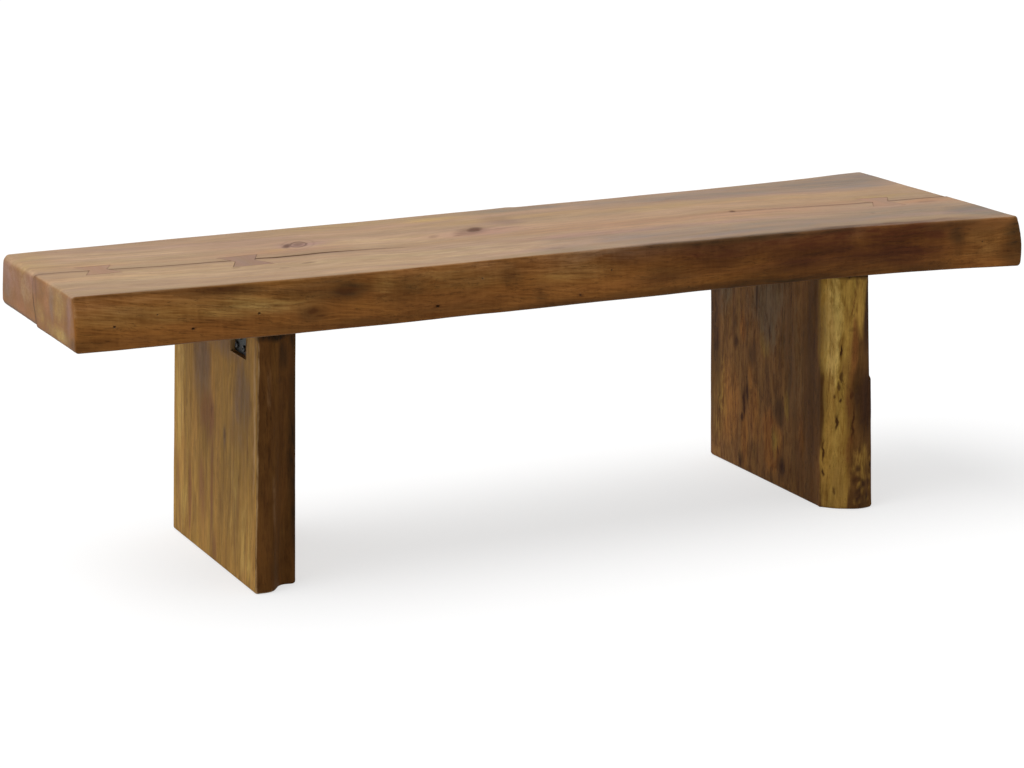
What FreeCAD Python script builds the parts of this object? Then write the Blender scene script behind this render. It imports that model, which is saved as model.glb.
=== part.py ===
import FreeCAD, Part
import os
import Sketcher

Vector = FreeCAD.Vector
UP = Vector(0, 0, 1)

document = FreeCAD.newDocument("rustic_log_bench")

# Driving dimensions in millimetres, each with what it measures.
# The bench stands on z = 0, long way along X, sitter facing -Y.
SIZES = (
    ("seat_length", 1524, "seat plank, saw cut to saw cut"),
    ("seat_width", 486, "seat plank across its live edges at the flared end"),
    ("seat_height", 457, "floor to the sitting face"),
    ("seat_thickness", 78, "seat plank, face to face"),
    ("seat_edge_round", 6, "worn radius on every arris of the seat plank"),
    ("left_overhang", 256, "plank end to the left leg's outer face at the floor"),
    ("right_overhang", 231, "plank end to the right leg's outer face at the floor"),
    ("left_leg_width", 371, "left leg plank across its live edges"),
    ("right_leg_width", 391, "right leg plank across its live edges"),
    ("left_leg_thickness", 72, "left leg plank at the floor"),
    ("right_leg_thickness", 77, "right leg plank at the floor"),
    ("left_outer_lean", 14, "left leg's outer face leans in by this at the seat"),
    ("right_outer_lean", 16, "right leg's outer face leans in by this at the seat"),
    ("left_inner_lean", 5, "left leg's inner face leans in by this at the seat"),
    ("right_inner_lean", 7, "right leg's inner face leans in by this at the seat"),
    ("right_leg_offset", 5.5, "right leg's middle from the seat's middle, towards the back"),
    ("leg_edge_round", 4, "worn radius on the legs' corners and feet"),
    ("end_key_length", 57, "butterfly key at the left end, across the split"),
    ("end_key_width", 54, "butterfly key at the left end, along the split"),
    ("inner_key_length", 73, "second butterfly key, across the split"),
    ("inner_key_width", 63, "second butterfly key, along the split"),
    ("right_key_length", 71, "butterfly key at the right end, across the split"),
    ("right_key_width", 57, "butterfly key at the right end, along the split"),
    ("right_key_turn", -8, "degrees that the right key is set askew"),
    ("key_depth", 22, "how deep each key is let into the seat"),
    ("key_clearance", 0.1, "glue line round a key"),
    ("split_width", 2.2, "drying split where it leaves the left end"),
    ("split_depth", 34, "drying splits below the sitting face"),
    ("split_through", 46, "length of the left split that goes right through"),
    ("bracket_width", 50, "angle bracket along the leg"),
    ("bracket_height", 45, "angle bracket down the leg"),
    ("bracket_reach", 50, "angle bracket out along the underside of the seat"),
    ("bracket_thickness", 4, "steel of the angle bracket"),
    ("bracket_bend", 2, "inner bend radius of the angle bracket"),
    ("bracket_corner", 3, "rounded corners of the angle bracket"),
    ("bracket_inset", 91, "live edge of the leg to the middle of its bracket"),
    ("pocket_depth", 10, "bracket pocket into the leg at the seat"),
    ("pocket_slack", 14, "empty end of the pocket beside its bracket"),
    ("pocket_clearance", 0.4, "pocket round the other sides of the bracket"),
    ("screw_diameter", 5, "wood screw shank"),
    ("screw_length", 36, "wood screw under its head"),
    ("screw_tip", 6, "point of the wood screw"),
    ("screw_head_diameter", 10, "pan head"),
    ("screw_head_height", 3.2, "pan head"),
    ("screw_spread", 30, "between the outer screws of one row"),
    ("screw_hole_clearance", 0.4, "bracket holes round the screws, on the radius"),
    ("pilot_clearance", 0.1, "pilot holes round the screws, on the radius"),
    ("lower_row", 35, "underside of the seat down to the lower screws"),
    ("upper_row", 20, "underside of the seat down to the upper screw"),
    ("flange_row", 36, "leg's pocket floor out to the seat screws"),
    ("dowel_diameter", 16, "hidden dowel between a leg and the seat"),
    ("dowel_length", 70, "hidden dowel, half of it in the leg"),
    ("dowel_chamfer", 1.5, "eased ends of a dowel"),
    ("dowel_inset", 36, "live edge of the leg to the middle of its dowel"),
    ("dowel_clearance", 0.1, "dowel holes round the dowels, on the radius"),
    ("hole_relief", 1.5, "blind holes past the end of what they hold"),
    ("cut_overrun", 30, "every cut that leaves the wood runs on by this"),
)

# Live edges of the seat as shares of seat_length and seat_width: x and y on
# the sitting face, then x and y on the underside, left end to right end.
SEAT_FRONT_SHARES = (
    (-0.496, -0.360, -0.497, -0.390),
    (-0.394, -0.377, -0.394, -0.399),
    (-0.262, -0.399, -0.262, -0.423),
    (-0.131, -0.393, -0.131, -0.403),
    (-0.013, -0.377, -0.013, -0.411),
    (0.138, -0.399, 0.138, -0.399),
    (0.282, -0.395, 0.282, -0.403),
    (0.394, -0.437, 0.394, -0.423),
    (0.496, -0.470, 0.500, -0.500),
)
SEAT_BACK_SHARES = (
    (-0.500, 0.319, -0.500, 0.351),
    (-0.394, 0.332, -0.394, 0.378),
    (-0.262, 0.353, -0.262, 0.390),
    (-0.131, 0.351, -0.131, 0.382),
    (-0.010, 0.374, -0.010, 0.398),
    (0.125, 0.392, 0.125, 0.412),
    (0.262, 0.404, 0.262, 0.425),
    (0.380, 0.425, 0.380, 0.443),
    (0.440, 0.463, 0.440, 0.471),
    (0.500, 0.492, 0.500, 0.500),
)

# Live edges of the legs as shares: x of the leg's thickness from the outer
# face inwards, then y of the leg's width set back from the leg's widest
# line at the floor and at the seat.
LEFT_FRONT_SHARES = (
    (0.00, 0.004, 0.012), (0.18, 0.000, 0.000), (0.36, -0.004, 0.000),
    (0.52, 0.030, 0.014), (0.68, 0.088, 0.040), (1.00, 0.060, 0.050),
)
LEFT_BACK_SHARES = (
    (0.00, 0.020, 0.014), (0.25, 0.004, 0.006), (0.50, 0.000, 0.004),
    (0.75, 0.012, 0.012), (1.00, 0.040, 0.034),
)
RIGHT_FRONT_SHARES = (
    (0.00, 0.012, 0.014), (0.15, -0.002, 0.000), (0.38, -0.002, 0.000),
    (0.60, 0.026, 0.022), (0.84, 0.050, 0.048), (1.00, 0.108, 0.112),
)
RIGHT_BACK_SHARES = (
    (0.00, 0.050, 0.044), (0.25, 0.024, 0.030), (0.50, 0.010, 0.012),
    (0.75, -0.004, -0.002), (1.00, 0.004, 0.002),
)

# Middle lines of the drying splits: x share of seat_length, y share of
# seat_width, share of split_width that is open there.
LEFT_SPLIT_SHARES = (
    (-0.500, -0.027, 1.00),
    (-0.390, -0.052, 0.80),
    (-0.290, -0.062, 0.62),
    (-0.205, -0.067, 0.42),
    (-0.137, -0.097, 0.20),
)
RIGHT_SPLIT_SHARES = (
    (0.500, -0.083, 0.55),
    (0.422, -0.056, 0.50),
    (0.372, -0.048, 0.42),
    (0.306, -0.031, 0.34),
    (0.232, 0.000, 0.20),
)

# Middle of each butterfly key on the seat, x then y, and its waist.
END_KEY_SHARES = (-0.4385, -0.026)
INNER_KEY_SHARES = (-0.3000, -0.083)
RIGHT_KEY_SHARES = (0.4137, -0.059)
KEY_WAIST_SHARE = 0.48

# Edges of a leg lower than this share of its height are worn round.
WORN_LEG_SHARE = 0.9

# Two places nearer than this are the same place.
SAME_PLACE = 1e-6


class Size:
    """A length worked out from cells of the sheet: its formula and its value."""

    def __init__(self, formula, value):
        self.formula = formula
        self.value = value

    def __add__(self, other):
        return Size(f"({self.formula} + {other.formula})", self.value + other.value)

    def __sub__(self, other):
        return Size(f"({self.formula} - {other.formula})", self.value - other.value)

    def __mul__(self, share):
        return Size(f"{self.formula} * ({share})", self.value * share)

    def __truediv__(self, share):
        return Size(f"{self.formula} / ({share})", self.value / share)

    def __neg__(self):
        return self * -1


def fill_sheet():
    """Writes the driving dimensions into the sheet and names their cells."""
    sheet = document.addObject("Spreadsheet::Sheet", "Sizes")
    for row, (name, value, meaning) in enumerate(SIZES, start=1):
        sheet.set(f"A{row}", name)
        sheet.set(f"B{row}", str(value))
        sheet.set(f"C{row}", meaning)
        sheet.setAlias(f"B{row}", name)
    document.recompute()
    return {name: Size(f"Sizes.{name}", float(sheet.get(name))) for name, _, _ in SIZES}


size = fill_sheet()
NOTHING = size["seat_length"] * 0
seat_underside = size["seat_height"] - size["seat_thickness"]
half_length = size["seat_length"] / 2
overrun = size["cut_overrun"]
pilot_radius = size["screw_diameter"] / 2 + size["pilot_clearance"]
bracket_hole_radius = size["screw_diameter"] / 2 + size["screw_hole_clearance"]
dowel_hole_radius = size["dowel_diameter"] / 2 + size["dowel_clearance"]
half_dowel = size["dowel_length"] / 2
screw_grip = size["screw_length"] - size["bracket_thickness"] + size["hole_relief"]


def bind(feature, path, amount):
    """Ties one property of a feature to a formula on the sheet."""
    feature.setExpression(path, amount.formula)


def new_body(label):
    body = document.addObject("PartDesign::Body", label)
    body.Label = label
    return body


def new_sketch(body, label, role, lift):
    """A sketch on one of the body's own origin planes, lifted off it."""
    sketch = body.newObject("Sketcher::SketchObject", label)
    plane = next(f for f in body.Origin.OriginFeatures if f.Role == role)
    sketch.AttachmentSupport = [(plane, "")]
    sketch.MapMode = "FlatFace"
    bind(sketch, "AttachmentOffset.Base.z", lift)
    return sketch


def hold(sketch, kind, first, second, amount):
    """Adds a dimension between two points, or on one curve, tied to the sheet."""
    where = (*first, *second, amount.value) if second else (*first, amount.value)
    index = sketch.addConstraint(Sketcher.Constraint(kind, *where))
    bind(sketch, f"Constraints[{index}]", amount)


def pin(sketch, point, across, along):
    """Fixes a point of the sketch from the sketch's own origin."""
    hold(sketch, "DistanceX", (-1, 1), point, across)
    hold(sketch, "DistanceY", (-1, 1), point, along)


def flat(point):
    return Vector(point[0].value, point[1].value, 0)


def add_polygon(sketch, corners):
    """A closed outline of straight lines with every corner fixed."""
    lines = []
    for start, end in zip(corners, corners[1:] + corners[:1]):
        lines.append(sketch.addGeometry(Part.LineSegment(flat(start), flat(end))))
    for line, after, corner in zip(lines, lines[1:] + lines[:1], corners):
        sketch.addConstraint(Sketcher.Constraint("Coincident", line, 2, after, 1))
        pin(sketch, (line, 1), *corner)


def add_circle(sketch, centre, radius):
    ring = sketch.addGeometry(Part.Circle(flat(centre), UP, radius.value))
    hold(sketch, "Radius", (ring,), None, radius)
    pin(sketch, (ring, 3), *centre)


def add_live_edge(sketch, poles, handle_radius):
    """A flowing curve steered by poles, each of them fixed."""
    handles = []
    for pole in poles:
        circle = Part.Circle(flat(pole), UP, handle_radius.value)
        handles.append(sketch.addGeometry(circle, True))
    sketch.addConstraint(Sketcher.Constraint("Weight", handles[0], 1.0))
    for handle in handles[1:]:
        sketch.addConstraint(Sketcher.Constraint("Equal", handles[0], handle))
    curve = Part.BSplineCurve([flat(pole) for pole in poles], None, None, False, 3, None, False)
    edge = sketch.addGeometry(curve)
    steer = "InternalAlignment:Sketcher::BSplineControlPoint"
    for number, (handle, pole) in enumerate(zip(handles, poles)):
        sketch.addConstraint(Sketcher.Constraint(steer, handle, 3, edge, number))
        pin(sketch, (handle, 3), *pole)
    return edge


def plank_outline(body, label, lift, front, back):
    """A level outline: two live edges joined by straight saw cuts."""
    sketch = new_sketch(body, label, "XY_Plane", lift)
    front_edge = add_live_edge(sketch, front, size["seat_edge_round"])
    back_edge = add_live_edge(sketch, back, size["seat_edge_round"])
    for start, end, first, second in (
        (front[-1], back[0], front_edge, back_edge),
        (back[-1], front[0], back_edge, front_edge),
    ):
        cut = sketch.addGeometry(Part.LineSegment(flat(start), flat(end)))
        sketch.addConstraint(Sketcher.Constraint("Coincident", first, 2, cut, 1))
        sketch.addConstraint(Sketcher.Constraint("Coincident", cut, 2, second, 1))
    return sketch


def loft_plank(body, top, bottom):
    loft = body.newObject("PartDesign::AdditiveLoft", "plank")
    loft.Profile = top
    loft.Sections = [bottom]
    loft.Ruled = True
    document.recompute()
    return loft


def round_edges(body, base, label, radius, chosen):
    """Rounds the edges of the base feature that the test picks."""
    names = [f"Edge{i}" for i, edge in enumerate(base.Shape.Edges, start=1) if chosen(edge)]
    if not names:
        raise RuntimeError(f"{body.Label} {label}: no edge to round")
    fillet = body.newObject("PartDesign::Fillet", label)
    fillet.Base = (base, names)
    bind(fillet, "Radius", radius)
    document.recompute()
    return fillet


def cut_pocket(body, sketch, depth, against_plane):
    """Cuts the sketch into the body, away from its plane's normal or along it."""
    before = body.Shape.Volume
    pocket = body.newObject("PartDesign::Pocket", f"{sketch.Label}_cut")
    pocket.Profile = sketch
    bind(pocket, "Length", depth)
    pocket.Reversed = not against_plane
    document.recompute()
    if not body.Shape.Volume < before:
        raise RuntimeError(f"{sketch.Label} cuts nothing")
    return pocket


def middle_height(edge):
    return edge.BoundBox.Center.z


# Each leg: its side of the bench, its faces and its live edges.
# Outer and inner are distances from the bench's middle, at floor and seat.
class Leg:
    def __init__(self, name, side, offset, front_shares, back_shares):
        self.name = name
        self.side = side
        self.width = size[f"{name}_leg_width"]
        self.front_shares = front_shares
        self.back_shares = back_shares
        outer = half_length - size[f"{name}_overhang"]
        self.outer_floor = outer * side
        self.inner_floor = (outer - size[f"{name}_leg_thickness"]) * side
        self.outer_seat = self.outer_floor - size[f"{name}_outer_lean"] * side
        self.inner_seat = self.inner_floor - size[f"{name}_inner_lean"] * side
        self.front = offset - self.width / 2
        self.back = offset + self.width / 2
        self.pocket_floor = self.outer_seat - size["pocket_depth"] * side
        self.dowel_line = (self.outer_seat + self.inner_seat) / 2
        self.bracket_rows = {
            "front": self.front + size["bracket_inset"],
            "back": self.back - size["bracket_inset"],
        }
        self.dowel_rows = {
            "front": self.front + size["dowel_inset"],
            "back": self.back - size["dowel_inset"],
        }


LEGS = (
    Leg("left", -1, NOTHING, LEFT_FRONT_SHARES, LEFT_BACK_SHARES),
    Leg("right", 1, size["right_leg_offset"], RIGHT_FRONT_SHARES, RIGHT_BACK_SHARES),
)


# Butterfly keys: bow-tie blocks glued across the drying splits, flush with
# the seat, wide at both ends and narrow where they cross the split.
class Key:
    def __init__(self, name, shares, turn):
        self.name = name
        self.length = size[f"{name}_key_length"]
        self.width = size[f"{name}_key_width"]
        self.across = size["seat_length"] * shares[0]
        self.along = size["seat_width"] * shares[1]
        self.turn = turn

    def outline(self, clearance):
        """Six corners round the key's own middle, grown by a clearance."""
        end = self.length / 2 + clearance
        wide = self.width / 2 + clearance
        waist = self.width * KEY_WAIST_SHARE / 2 + clearance
        return [
            (-wide, -end), (wide, -end), (waist, NOTHING),
            (wide, end), (-wide, end), (-waist, NOTHING),
        ]


KEYS = (
    Key("end", END_KEY_SHARES, None),
    Key("inner", INNER_KEY_SHARES, None),
    Key("right", RIGHT_KEY_SHARES, size["right_key_turn"]),
)


def make_key(key):
    body = new_body(f"{key.name}_butterfly_key")
    sketch = new_sketch(body, f"{key.name}_key_outline", "XY_Plane", NOTHING)
    add_polygon(sketch, key.outline(NOTHING))
    block = body.newObject("PartDesign::Pad", f"{key.name}_key_block")
    block.Profile = sketch
    bind(block, "Length", size["key_depth"])
    bind(body, "Placement.Base.x", key.across)
    bind(body, "Placement.Base.y", key.along)
    bind(body, "Placement.Base.z", size["seat_height"] - size["key_depth"])
    if key.turn:
        bind(body, "Placement.Rotation.Angle", key.turn)
    document.recompute()
    return body


def split_outline(stations, outward):
    """A long thin wedge along a split, run out past the end of the seat."""
    middle = [
        (size["seat_length"] * x, size["seat_width"] * y, size["split_width"] * open_share / 2)
        for x, y, open_share in stations
    ]
    across, along, half = middle[0]
    middle[0] = (across + overrun * outward, along, half)
    near = [(x, y - half) for x, y, half in middle]
    far = [(x, y + half) for x, y, half in middle]
    return near + far[::-1]


def through_split_outline():
    """The stretch of the left split that is open right through the plank."""
    end_share, along_share, open_share = LEFT_SPLIT_SHARES[0]
    along = size["seat_width"] * along_share
    half = size["split_width"] * open_share / 2
    outside = size["seat_length"] * end_share - overrun
    inside = size["seat_length"] * end_share + size["split_through"]
    tip = half * LEFT_SPLIT_SHARES[-1][2]
    return [(outside, along - half), (inside, along - tip), (inside, along + tip), (outside, along + half)]


def seat_outline(body, label, lift, column):
    """The seat's outline at one level, from two columns of its edge shares."""
    front, back = (
        [(size["seat_length"] * row[column], size["seat_width"] * row[column + 1]) for row in edge]
        for edge in (SEAT_FRONT_SHARES, SEAT_BACK_SHARES)
    )
    return plank_outline(body, label, lift, front, back[::-1])


# Seat: one thick plank with live front and back edges, flared at the right
# end, holding the keys, the splits and the blind holes of the leg fixings.
def make_seat():
    body = new_body("seat_plank")
    top = seat_outline(body, "seat_top_outline", size["seat_thickness"], 0)
    underside = seat_outline(body, "seat_underside_outline", NOTHING, 2)
    plank = loft_plank(body, top, underside)
    round_edges(body, plank, "worn_arrises", size["seat_edge_round"], lambda edge: True)
    for key in KEYS:
        mortise = new_sketch(body, f"{key.name}_key_mortise", "XY_Plane", size["seat_thickness"])
        bind(mortise, "AttachmentOffset.Base.x", key.across)
        bind(mortise, "AttachmentOffset.Base.y", key.along)
        if key.turn:
            bind(mortise, "AttachmentOffset.Rotation.Angle", key.turn)
        add_polygon(mortise, key.outline(size["key_clearance"]))
        cut_pocket(body, mortise, size["key_depth"], True)
    splits = (
        ("left_split", split_outline(LEFT_SPLIT_SHARES, -1), size["split_depth"]),
        ("right_split", split_outline(RIGHT_SPLIT_SHARES, 1), size["split_depth"]),
        ("end_split", through_split_outline(), size["seat_thickness"] + overrun),
    )
    for label, outline, depth in splits:
        sketch = new_sketch(body, label, "XY_Plane", size["seat_thickness"])
        add_polygon(sketch, outline)
        cut_pocket(body, sketch, depth, True)
    pilots = new_sketch(body, "seat_pilot_holes", "XY_Plane", NOTHING)
    sockets = new_sketch(body, "seat_dowel_holes", "XY_Plane", NOTHING)
    for leg in LEGS:
        for row in leg.bracket_rows.values():
            for spread in (-size["screw_spread"] / 2, size["screw_spread"] / 2):
                centre = (leg.pocket_floor + size["flange_row"] * leg.side, row + spread)
                add_circle(pilots, centre, pilot_radius)
        for row in leg.dowel_rows.values():
            add_circle(sockets, (leg.dowel_line, row), dowel_hole_radius)
    cut_pocket(body, pilots, screw_grip, False)
    cut_pocket(body, sockets, half_dowel + size["hole_relief"], False)
    bind(body, "Placement.Base.z", seat_underside)
    return body


def leg_edges(leg, outer, inner, column):
    """Front and back live edges of a leg at one level, outer face to inner."""
    front = [
        (outer + (inner - outer) * row[0], leg.front + leg.width * row[column])
        for row in leg.front_shares
    ]
    back = [
        (outer + (inner - outer) * row[0], leg.back - leg.width * row[column])
        for row in leg.back_shares
    ]
    return front, back[::-1]


# Legs: upright planks with live front and back edges. Each has two pockets
# in its outer face for the angle brackets and two blind holes for dowels.
def make_leg(leg):
    body = new_body(f"{leg.name}_leg")
    top_edges = leg_edges(leg, leg.outer_seat, leg.inner_seat, 2)
    foot_edges = leg_edges(leg, leg.outer_floor, leg.inner_floor, 1)
    top = plank_outline(body, f"{leg.name}_leg_top", seat_underside, *top_edges)
    foot = plank_outline(body, f"{leg.name}_leg_foot", NOTHING, *foot_edges)
    plank = loft_plank(body, top, foot)
    round_edges(
        body, plank, "worn_arrises", size["leg_edge_round"],
        lambda edge: middle_height(edge) < seat_underside.value * WORN_LEG_SHARE,
    )
    outwards_is_minus = leg.side < 0
    for place, row in leg.bracket_rows.items():
        slack_first = place == "front"
        low_slack = size["pocket_slack"] if slack_first else size["pocket_clearance"]
        high_slack = size["pocket_clearance"] if slack_first else size["pocket_slack"]
        low = row - size["bracket_width"] / 2 - low_slack
        high = row + size["bracket_width"] / 2 + high_slack
        bottom = seat_underside - size["bracket_height"] - size["pocket_clearance"]
        top_line = seat_underside + overrun
        pocket = new_sketch(body, f"{leg.name}_{place}_pocket", "YZ_Plane", leg.pocket_floor)
        add_polygon(pocket, [(low, bottom), (high, bottom), (high, top_line), (low, top_line)])
        cut_pocket(body, pocket, overrun, outwards_is_minus)
    pilots = new_sketch(body, f"{leg.name}_pilot_holes", "YZ_Plane", leg.pocket_floor)
    for row in leg.bracket_rows.values():
        for across, down in screw_places():
            add_circle(pilots, (row + across, seat_underside - down), pilot_radius)
    cut_pocket(body, pilots, screw_grip, not outwards_is_minus)
    sockets = new_sketch(body, f"{leg.name}_dowel_holes", "XY_Plane", seat_underside)
    for row in leg.dowel_rows.values():
        add_circle(sockets, (leg.dowel_line, row), dowel_hole_radius)
    cut_pocket(body, sockets, half_dowel + size["hole_relief"], True)
    return body


def screw_places():
    """The three screws of a bracket's upright, from its middle and its top."""
    half = size["screw_spread"] / 2
    return ((-half, size["lower_row"]), (half, size["lower_row"]), (NOTHING, size["upper_row"]))


# Angle brackets: bent steel plate, upright in the leg's pocket and flange
# under the seat. The bend's outer corner is each bracket's own origin.
def make_bracket(leg, place):
    body = new_body(f"{leg.name}_{place}_bracket")
    profile = new_sketch(body, "angle_profile", "XZ_Plane", NOTHING)
    steel = -size["bracket_thickness"]
    out = -size["bracket_reach"]
    down = -size["bracket_height"]
    add_polygon(profile, [
        (NOTHING, NOTHING), (out, NOTHING), (out, steel),
        (steel, steel), (steel, down), (NOTHING, down),
    ])
    angle = body.newObject("PartDesign::Pad", "angle")
    angle.Profile = profile
    angle.SideType = "Symmetric"
    bind(angle, "Length", size["bracket_width"])
    document.recompute()
    inside = size["bracket_thickness"].value
    outside_bend = size["bracket_bend"] + size["bracket_thickness"]
    bend = round_edges(
        body, angle, "inner_bend", size["bracket_bend"],
        lambda edge: is_bend(edge, inside),
    )
    heel = round_edges(body, bend, "outer_bend", outside_bend, lambda edge: is_bend(edge, 0))
    corners = round_edges(body, heel, "corners", size["bracket_corner"], is_plate_corner)
    holes = new_sketch(body, "upright_holes", "YZ_Plane", NOTHING)
    for across, lower in screw_places():
        add_circle(holes, (across, -lower), bracket_hole_radius)
    cut_pocket(body, holes, overrun, True)
    flange_holes = new_sketch(body, "flange_holes", "XY_Plane", NOTHING)
    for across in (-size["screw_spread"] / 2, size["screw_spread"] / 2):
        add_circle(flange_holes, (-size["flange_row"], across), bracket_hole_radius)
    cut_pocket(body, flange_holes, overrun, True)
    if leg.side > 0:
        body.Placement = FreeCAD.Placement(Vector(), FreeCAD.Rotation(UP, 180))
    bind(body, "Placement.Base.x", leg.pocket_floor)
    bind(body, "Placement.Base.y", leg.bracket_rows[place])
    bind(body, "Placement.Base.z", seat_underside)
    return body


def is_bend(edge, depth):
    """True on the long edge that runs along the bend at this depth."""
    box = edge.BoundBox
    along = box.YLength > box.XLength + box.ZLength
    off_bend = max(abs(box.Center.x + depth), abs(box.Center.z + depth))
    return along and off_bend < SAME_PLACE


def is_plate_corner(edge):
    """True on the short edges through the steel at the plate's free corners."""
    return abs(edge.Length - size["bracket_thickness"].value) < SAME_PLACE


# Wood screws: pan head, plain shank and point, the head's underside at the
# screw's own origin and the point along its own -Z.
def make_screw(label, place, head_points):
    body = new_body(label)
    profile = new_sketch(body, "screw_profile", "XZ_Plane", NOTHING)
    shank = size["screw_diameter"] / 2
    head = size["screw_head_diameter"] / 2
    brow = size["screw_head_height"]
    add_polygon(profile, [
        (NOTHING, brow), (NOTHING, -size["screw_length"]),
        (shank, size["screw_tip"] - size["screw_length"]), (shank, NOTHING),
        (head, NOTHING), (head, brow / 2), (head - brow / 2, brow),
    ])
    turned = body.newObject("PartDesign::Revolution", "turned_screw")
    turned.Profile = profile
    turned.ReferenceAxis = (profile, ["V_Axis"])
    turned.Angle = 360
    body.Placement = FreeCAD.Placement(Vector(), FreeCAD.Rotation(UP, head_points))
    for axis, amount in zip("xyz", place):
        bind(body, f"Placement.Base.{axis}", amount)
    return body


def make_screws(leg, place):
    """The screws of one bracket: one group into the leg, one into the seat."""
    row = leg.bracket_rows[place]
    steel_face = leg.pocket_floor + size["bracket_thickness"] * leg.side
    outward = Vector(leg.side, 0, 0)
    name = f"{leg.name}_{place}"
    into_leg = [
        make_screw(f"{name}_leg_screw", (steel_face, row + across, seat_underside - down), outward)
        for across, down in screw_places()
    ]
    flange_line = leg.pocket_floor + size["flange_row"] * leg.side
    flange_face = seat_underside - size["bracket_thickness"]
    into_seat = [
        make_screw(f"{name}_seat_screw", (flange_line, row + across, flange_face), -UP)
        for across in (-size["screw_spread"] / 2, size["screw_spread"] / 2)
    ]
    return [group(f"{name}_leg_screws", into_leg), group(f"{name}_seat_screws", into_seat)]


def group(label, members):
    gathered = document.addObject("Part::Compound", label)
    gathered.Label = label
    gathered.Links = members
    return gathered


# Dowels: hidden hardwood pins that keep a leg from twisting under the seat.
def make_dowel(leg, place):
    body = new_body(f"{leg.name}_{place}_dowel")
    section = new_sketch(body, "dowel_section", "XY_Plane", NOTHING)
    add_circle(section, (NOTHING, NOTHING), size["dowel_diameter"] / 2)
    rod = body.newObject("PartDesign::Pad", "rod")
    rod.Profile = section
    rod.SideType = "Symmetric"
    bind(rod, "Length", size["dowel_length"])
    document.recompute()
    rims = [f"Edge{i}" for i, edge in enumerate(rod.Shape.Edges, start=1) if is_level(edge)]
    eased = body.newObject("PartDesign::Chamfer", "eased_ends")
    eased.Base = (rod, rims)
    bind(eased, "Size", size["dowel_chamfer"])
    bind(body, "Placement.Base.x", leg.dowel_line)
    bind(body, "Placement.Base.y", leg.dowel_rows[place])
    bind(body, "Placement.Base.z", seat_underside)
    return body


def is_level(edge):
    return edge.BoundBox.ZLength < SAME_PLACE


nodes = [make_seat()]
nodes += [make_key(key) for key in KEYS]
for leg in LEGS:
    nodes.append(make_leg(leg))
    for place in leg.bracket_rows:
        nodes.append(make_bracket(leg, place))
        nodes += make_screws(leg, place)
        nodes.append(make_dowel(leg, place))
document.recompute()

for item in document.Objects:
    if "Invalid" in item.State or "Error" in item.State:
        raise RuntimeError(f"{item.Label} failed: {item.State}")
for node in nodes:
    if node.Shape.isNull() or not node.Shape.isValid():
        raise RuntimeError(f"{node.Label} has no sound shape")

os.makedirs("parts", exist_ok=True)
for node in nodes:
    node.Shape.exportStep(f"parts/{node.Label}.step")
    box = node.Shape.optimalBoundingBox(False, False)
    print(f"{node.Label}: {len(node.Shape.Solids)} solids, {node.Shape.Volume / 1000:.1f} cm3,",
          f"x {box.XMin:.1f} to {box.XMax:.1f}, y {box.YMin:.1f} to {box.YMax:.1f},",
          f"z {box.ZMin:.1f} to {box.ZMax:.1f}")
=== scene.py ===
import math

import bmesh
import bpy
import numpy as np
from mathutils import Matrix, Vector, noise
from mathutils.bvhtree import BVHTree


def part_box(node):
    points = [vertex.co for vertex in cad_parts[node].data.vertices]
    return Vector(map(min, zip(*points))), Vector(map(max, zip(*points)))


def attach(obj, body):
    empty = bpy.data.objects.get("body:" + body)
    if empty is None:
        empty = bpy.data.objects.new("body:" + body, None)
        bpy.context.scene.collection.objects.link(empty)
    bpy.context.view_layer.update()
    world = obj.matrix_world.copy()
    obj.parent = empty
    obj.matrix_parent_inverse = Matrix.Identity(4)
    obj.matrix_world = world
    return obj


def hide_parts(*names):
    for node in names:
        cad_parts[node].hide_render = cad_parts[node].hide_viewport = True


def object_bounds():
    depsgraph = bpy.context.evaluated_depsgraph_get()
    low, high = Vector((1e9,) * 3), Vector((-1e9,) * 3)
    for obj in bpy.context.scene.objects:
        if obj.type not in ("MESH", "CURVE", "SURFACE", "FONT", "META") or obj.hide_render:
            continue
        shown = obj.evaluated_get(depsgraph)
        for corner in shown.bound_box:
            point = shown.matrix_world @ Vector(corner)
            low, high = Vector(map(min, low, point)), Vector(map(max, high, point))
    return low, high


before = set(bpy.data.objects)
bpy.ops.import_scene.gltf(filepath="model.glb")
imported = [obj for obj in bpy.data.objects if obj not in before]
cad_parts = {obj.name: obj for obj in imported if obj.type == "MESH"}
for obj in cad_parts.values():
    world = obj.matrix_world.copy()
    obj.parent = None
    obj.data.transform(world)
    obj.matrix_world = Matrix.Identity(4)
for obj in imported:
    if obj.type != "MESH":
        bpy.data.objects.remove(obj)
cad_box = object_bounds()

# Seat plank: one slab sawn through the middle of a log, 78 mm thick. Its
# long edges are the peeled outside of the log and its ends are saw cuts.
# It split from both ends as it dried, then was sanded round, oiled and waxed.
MM = 0.001
ARRIS_LINES = MM * np.array([0, 0.8, 2.0, 3.6, 5.6, 8.2, 11.6])
SEAT_STEP = (6 * MM, 4 * MM, 4 * MM)
SEAT_ARRIS = 6 * MM
PROBE_INSET = 12 * MM
END_PROBES = MM * np.array([-140, 120])
END_STATIONS = 8

# The peeled edges swell between top and bottom, though the back one flattens
# out towards the right end. That end swells too, and tucks in at the bottom.
LIVE_BULGE = 3 * MM
BULGE_FADE = 200 * MM
END_BULGE = 3 * MM
END_TUCK = 5 * MM

# The slab's back half is worn rounder than its front half, by shares of the
# arris's radius: so much all along, and so much more towards the corners.
BACK_WEAR = 0.5
CORNER_WEAR = 0.6
CORNER_REACH = 25 * MM

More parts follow.
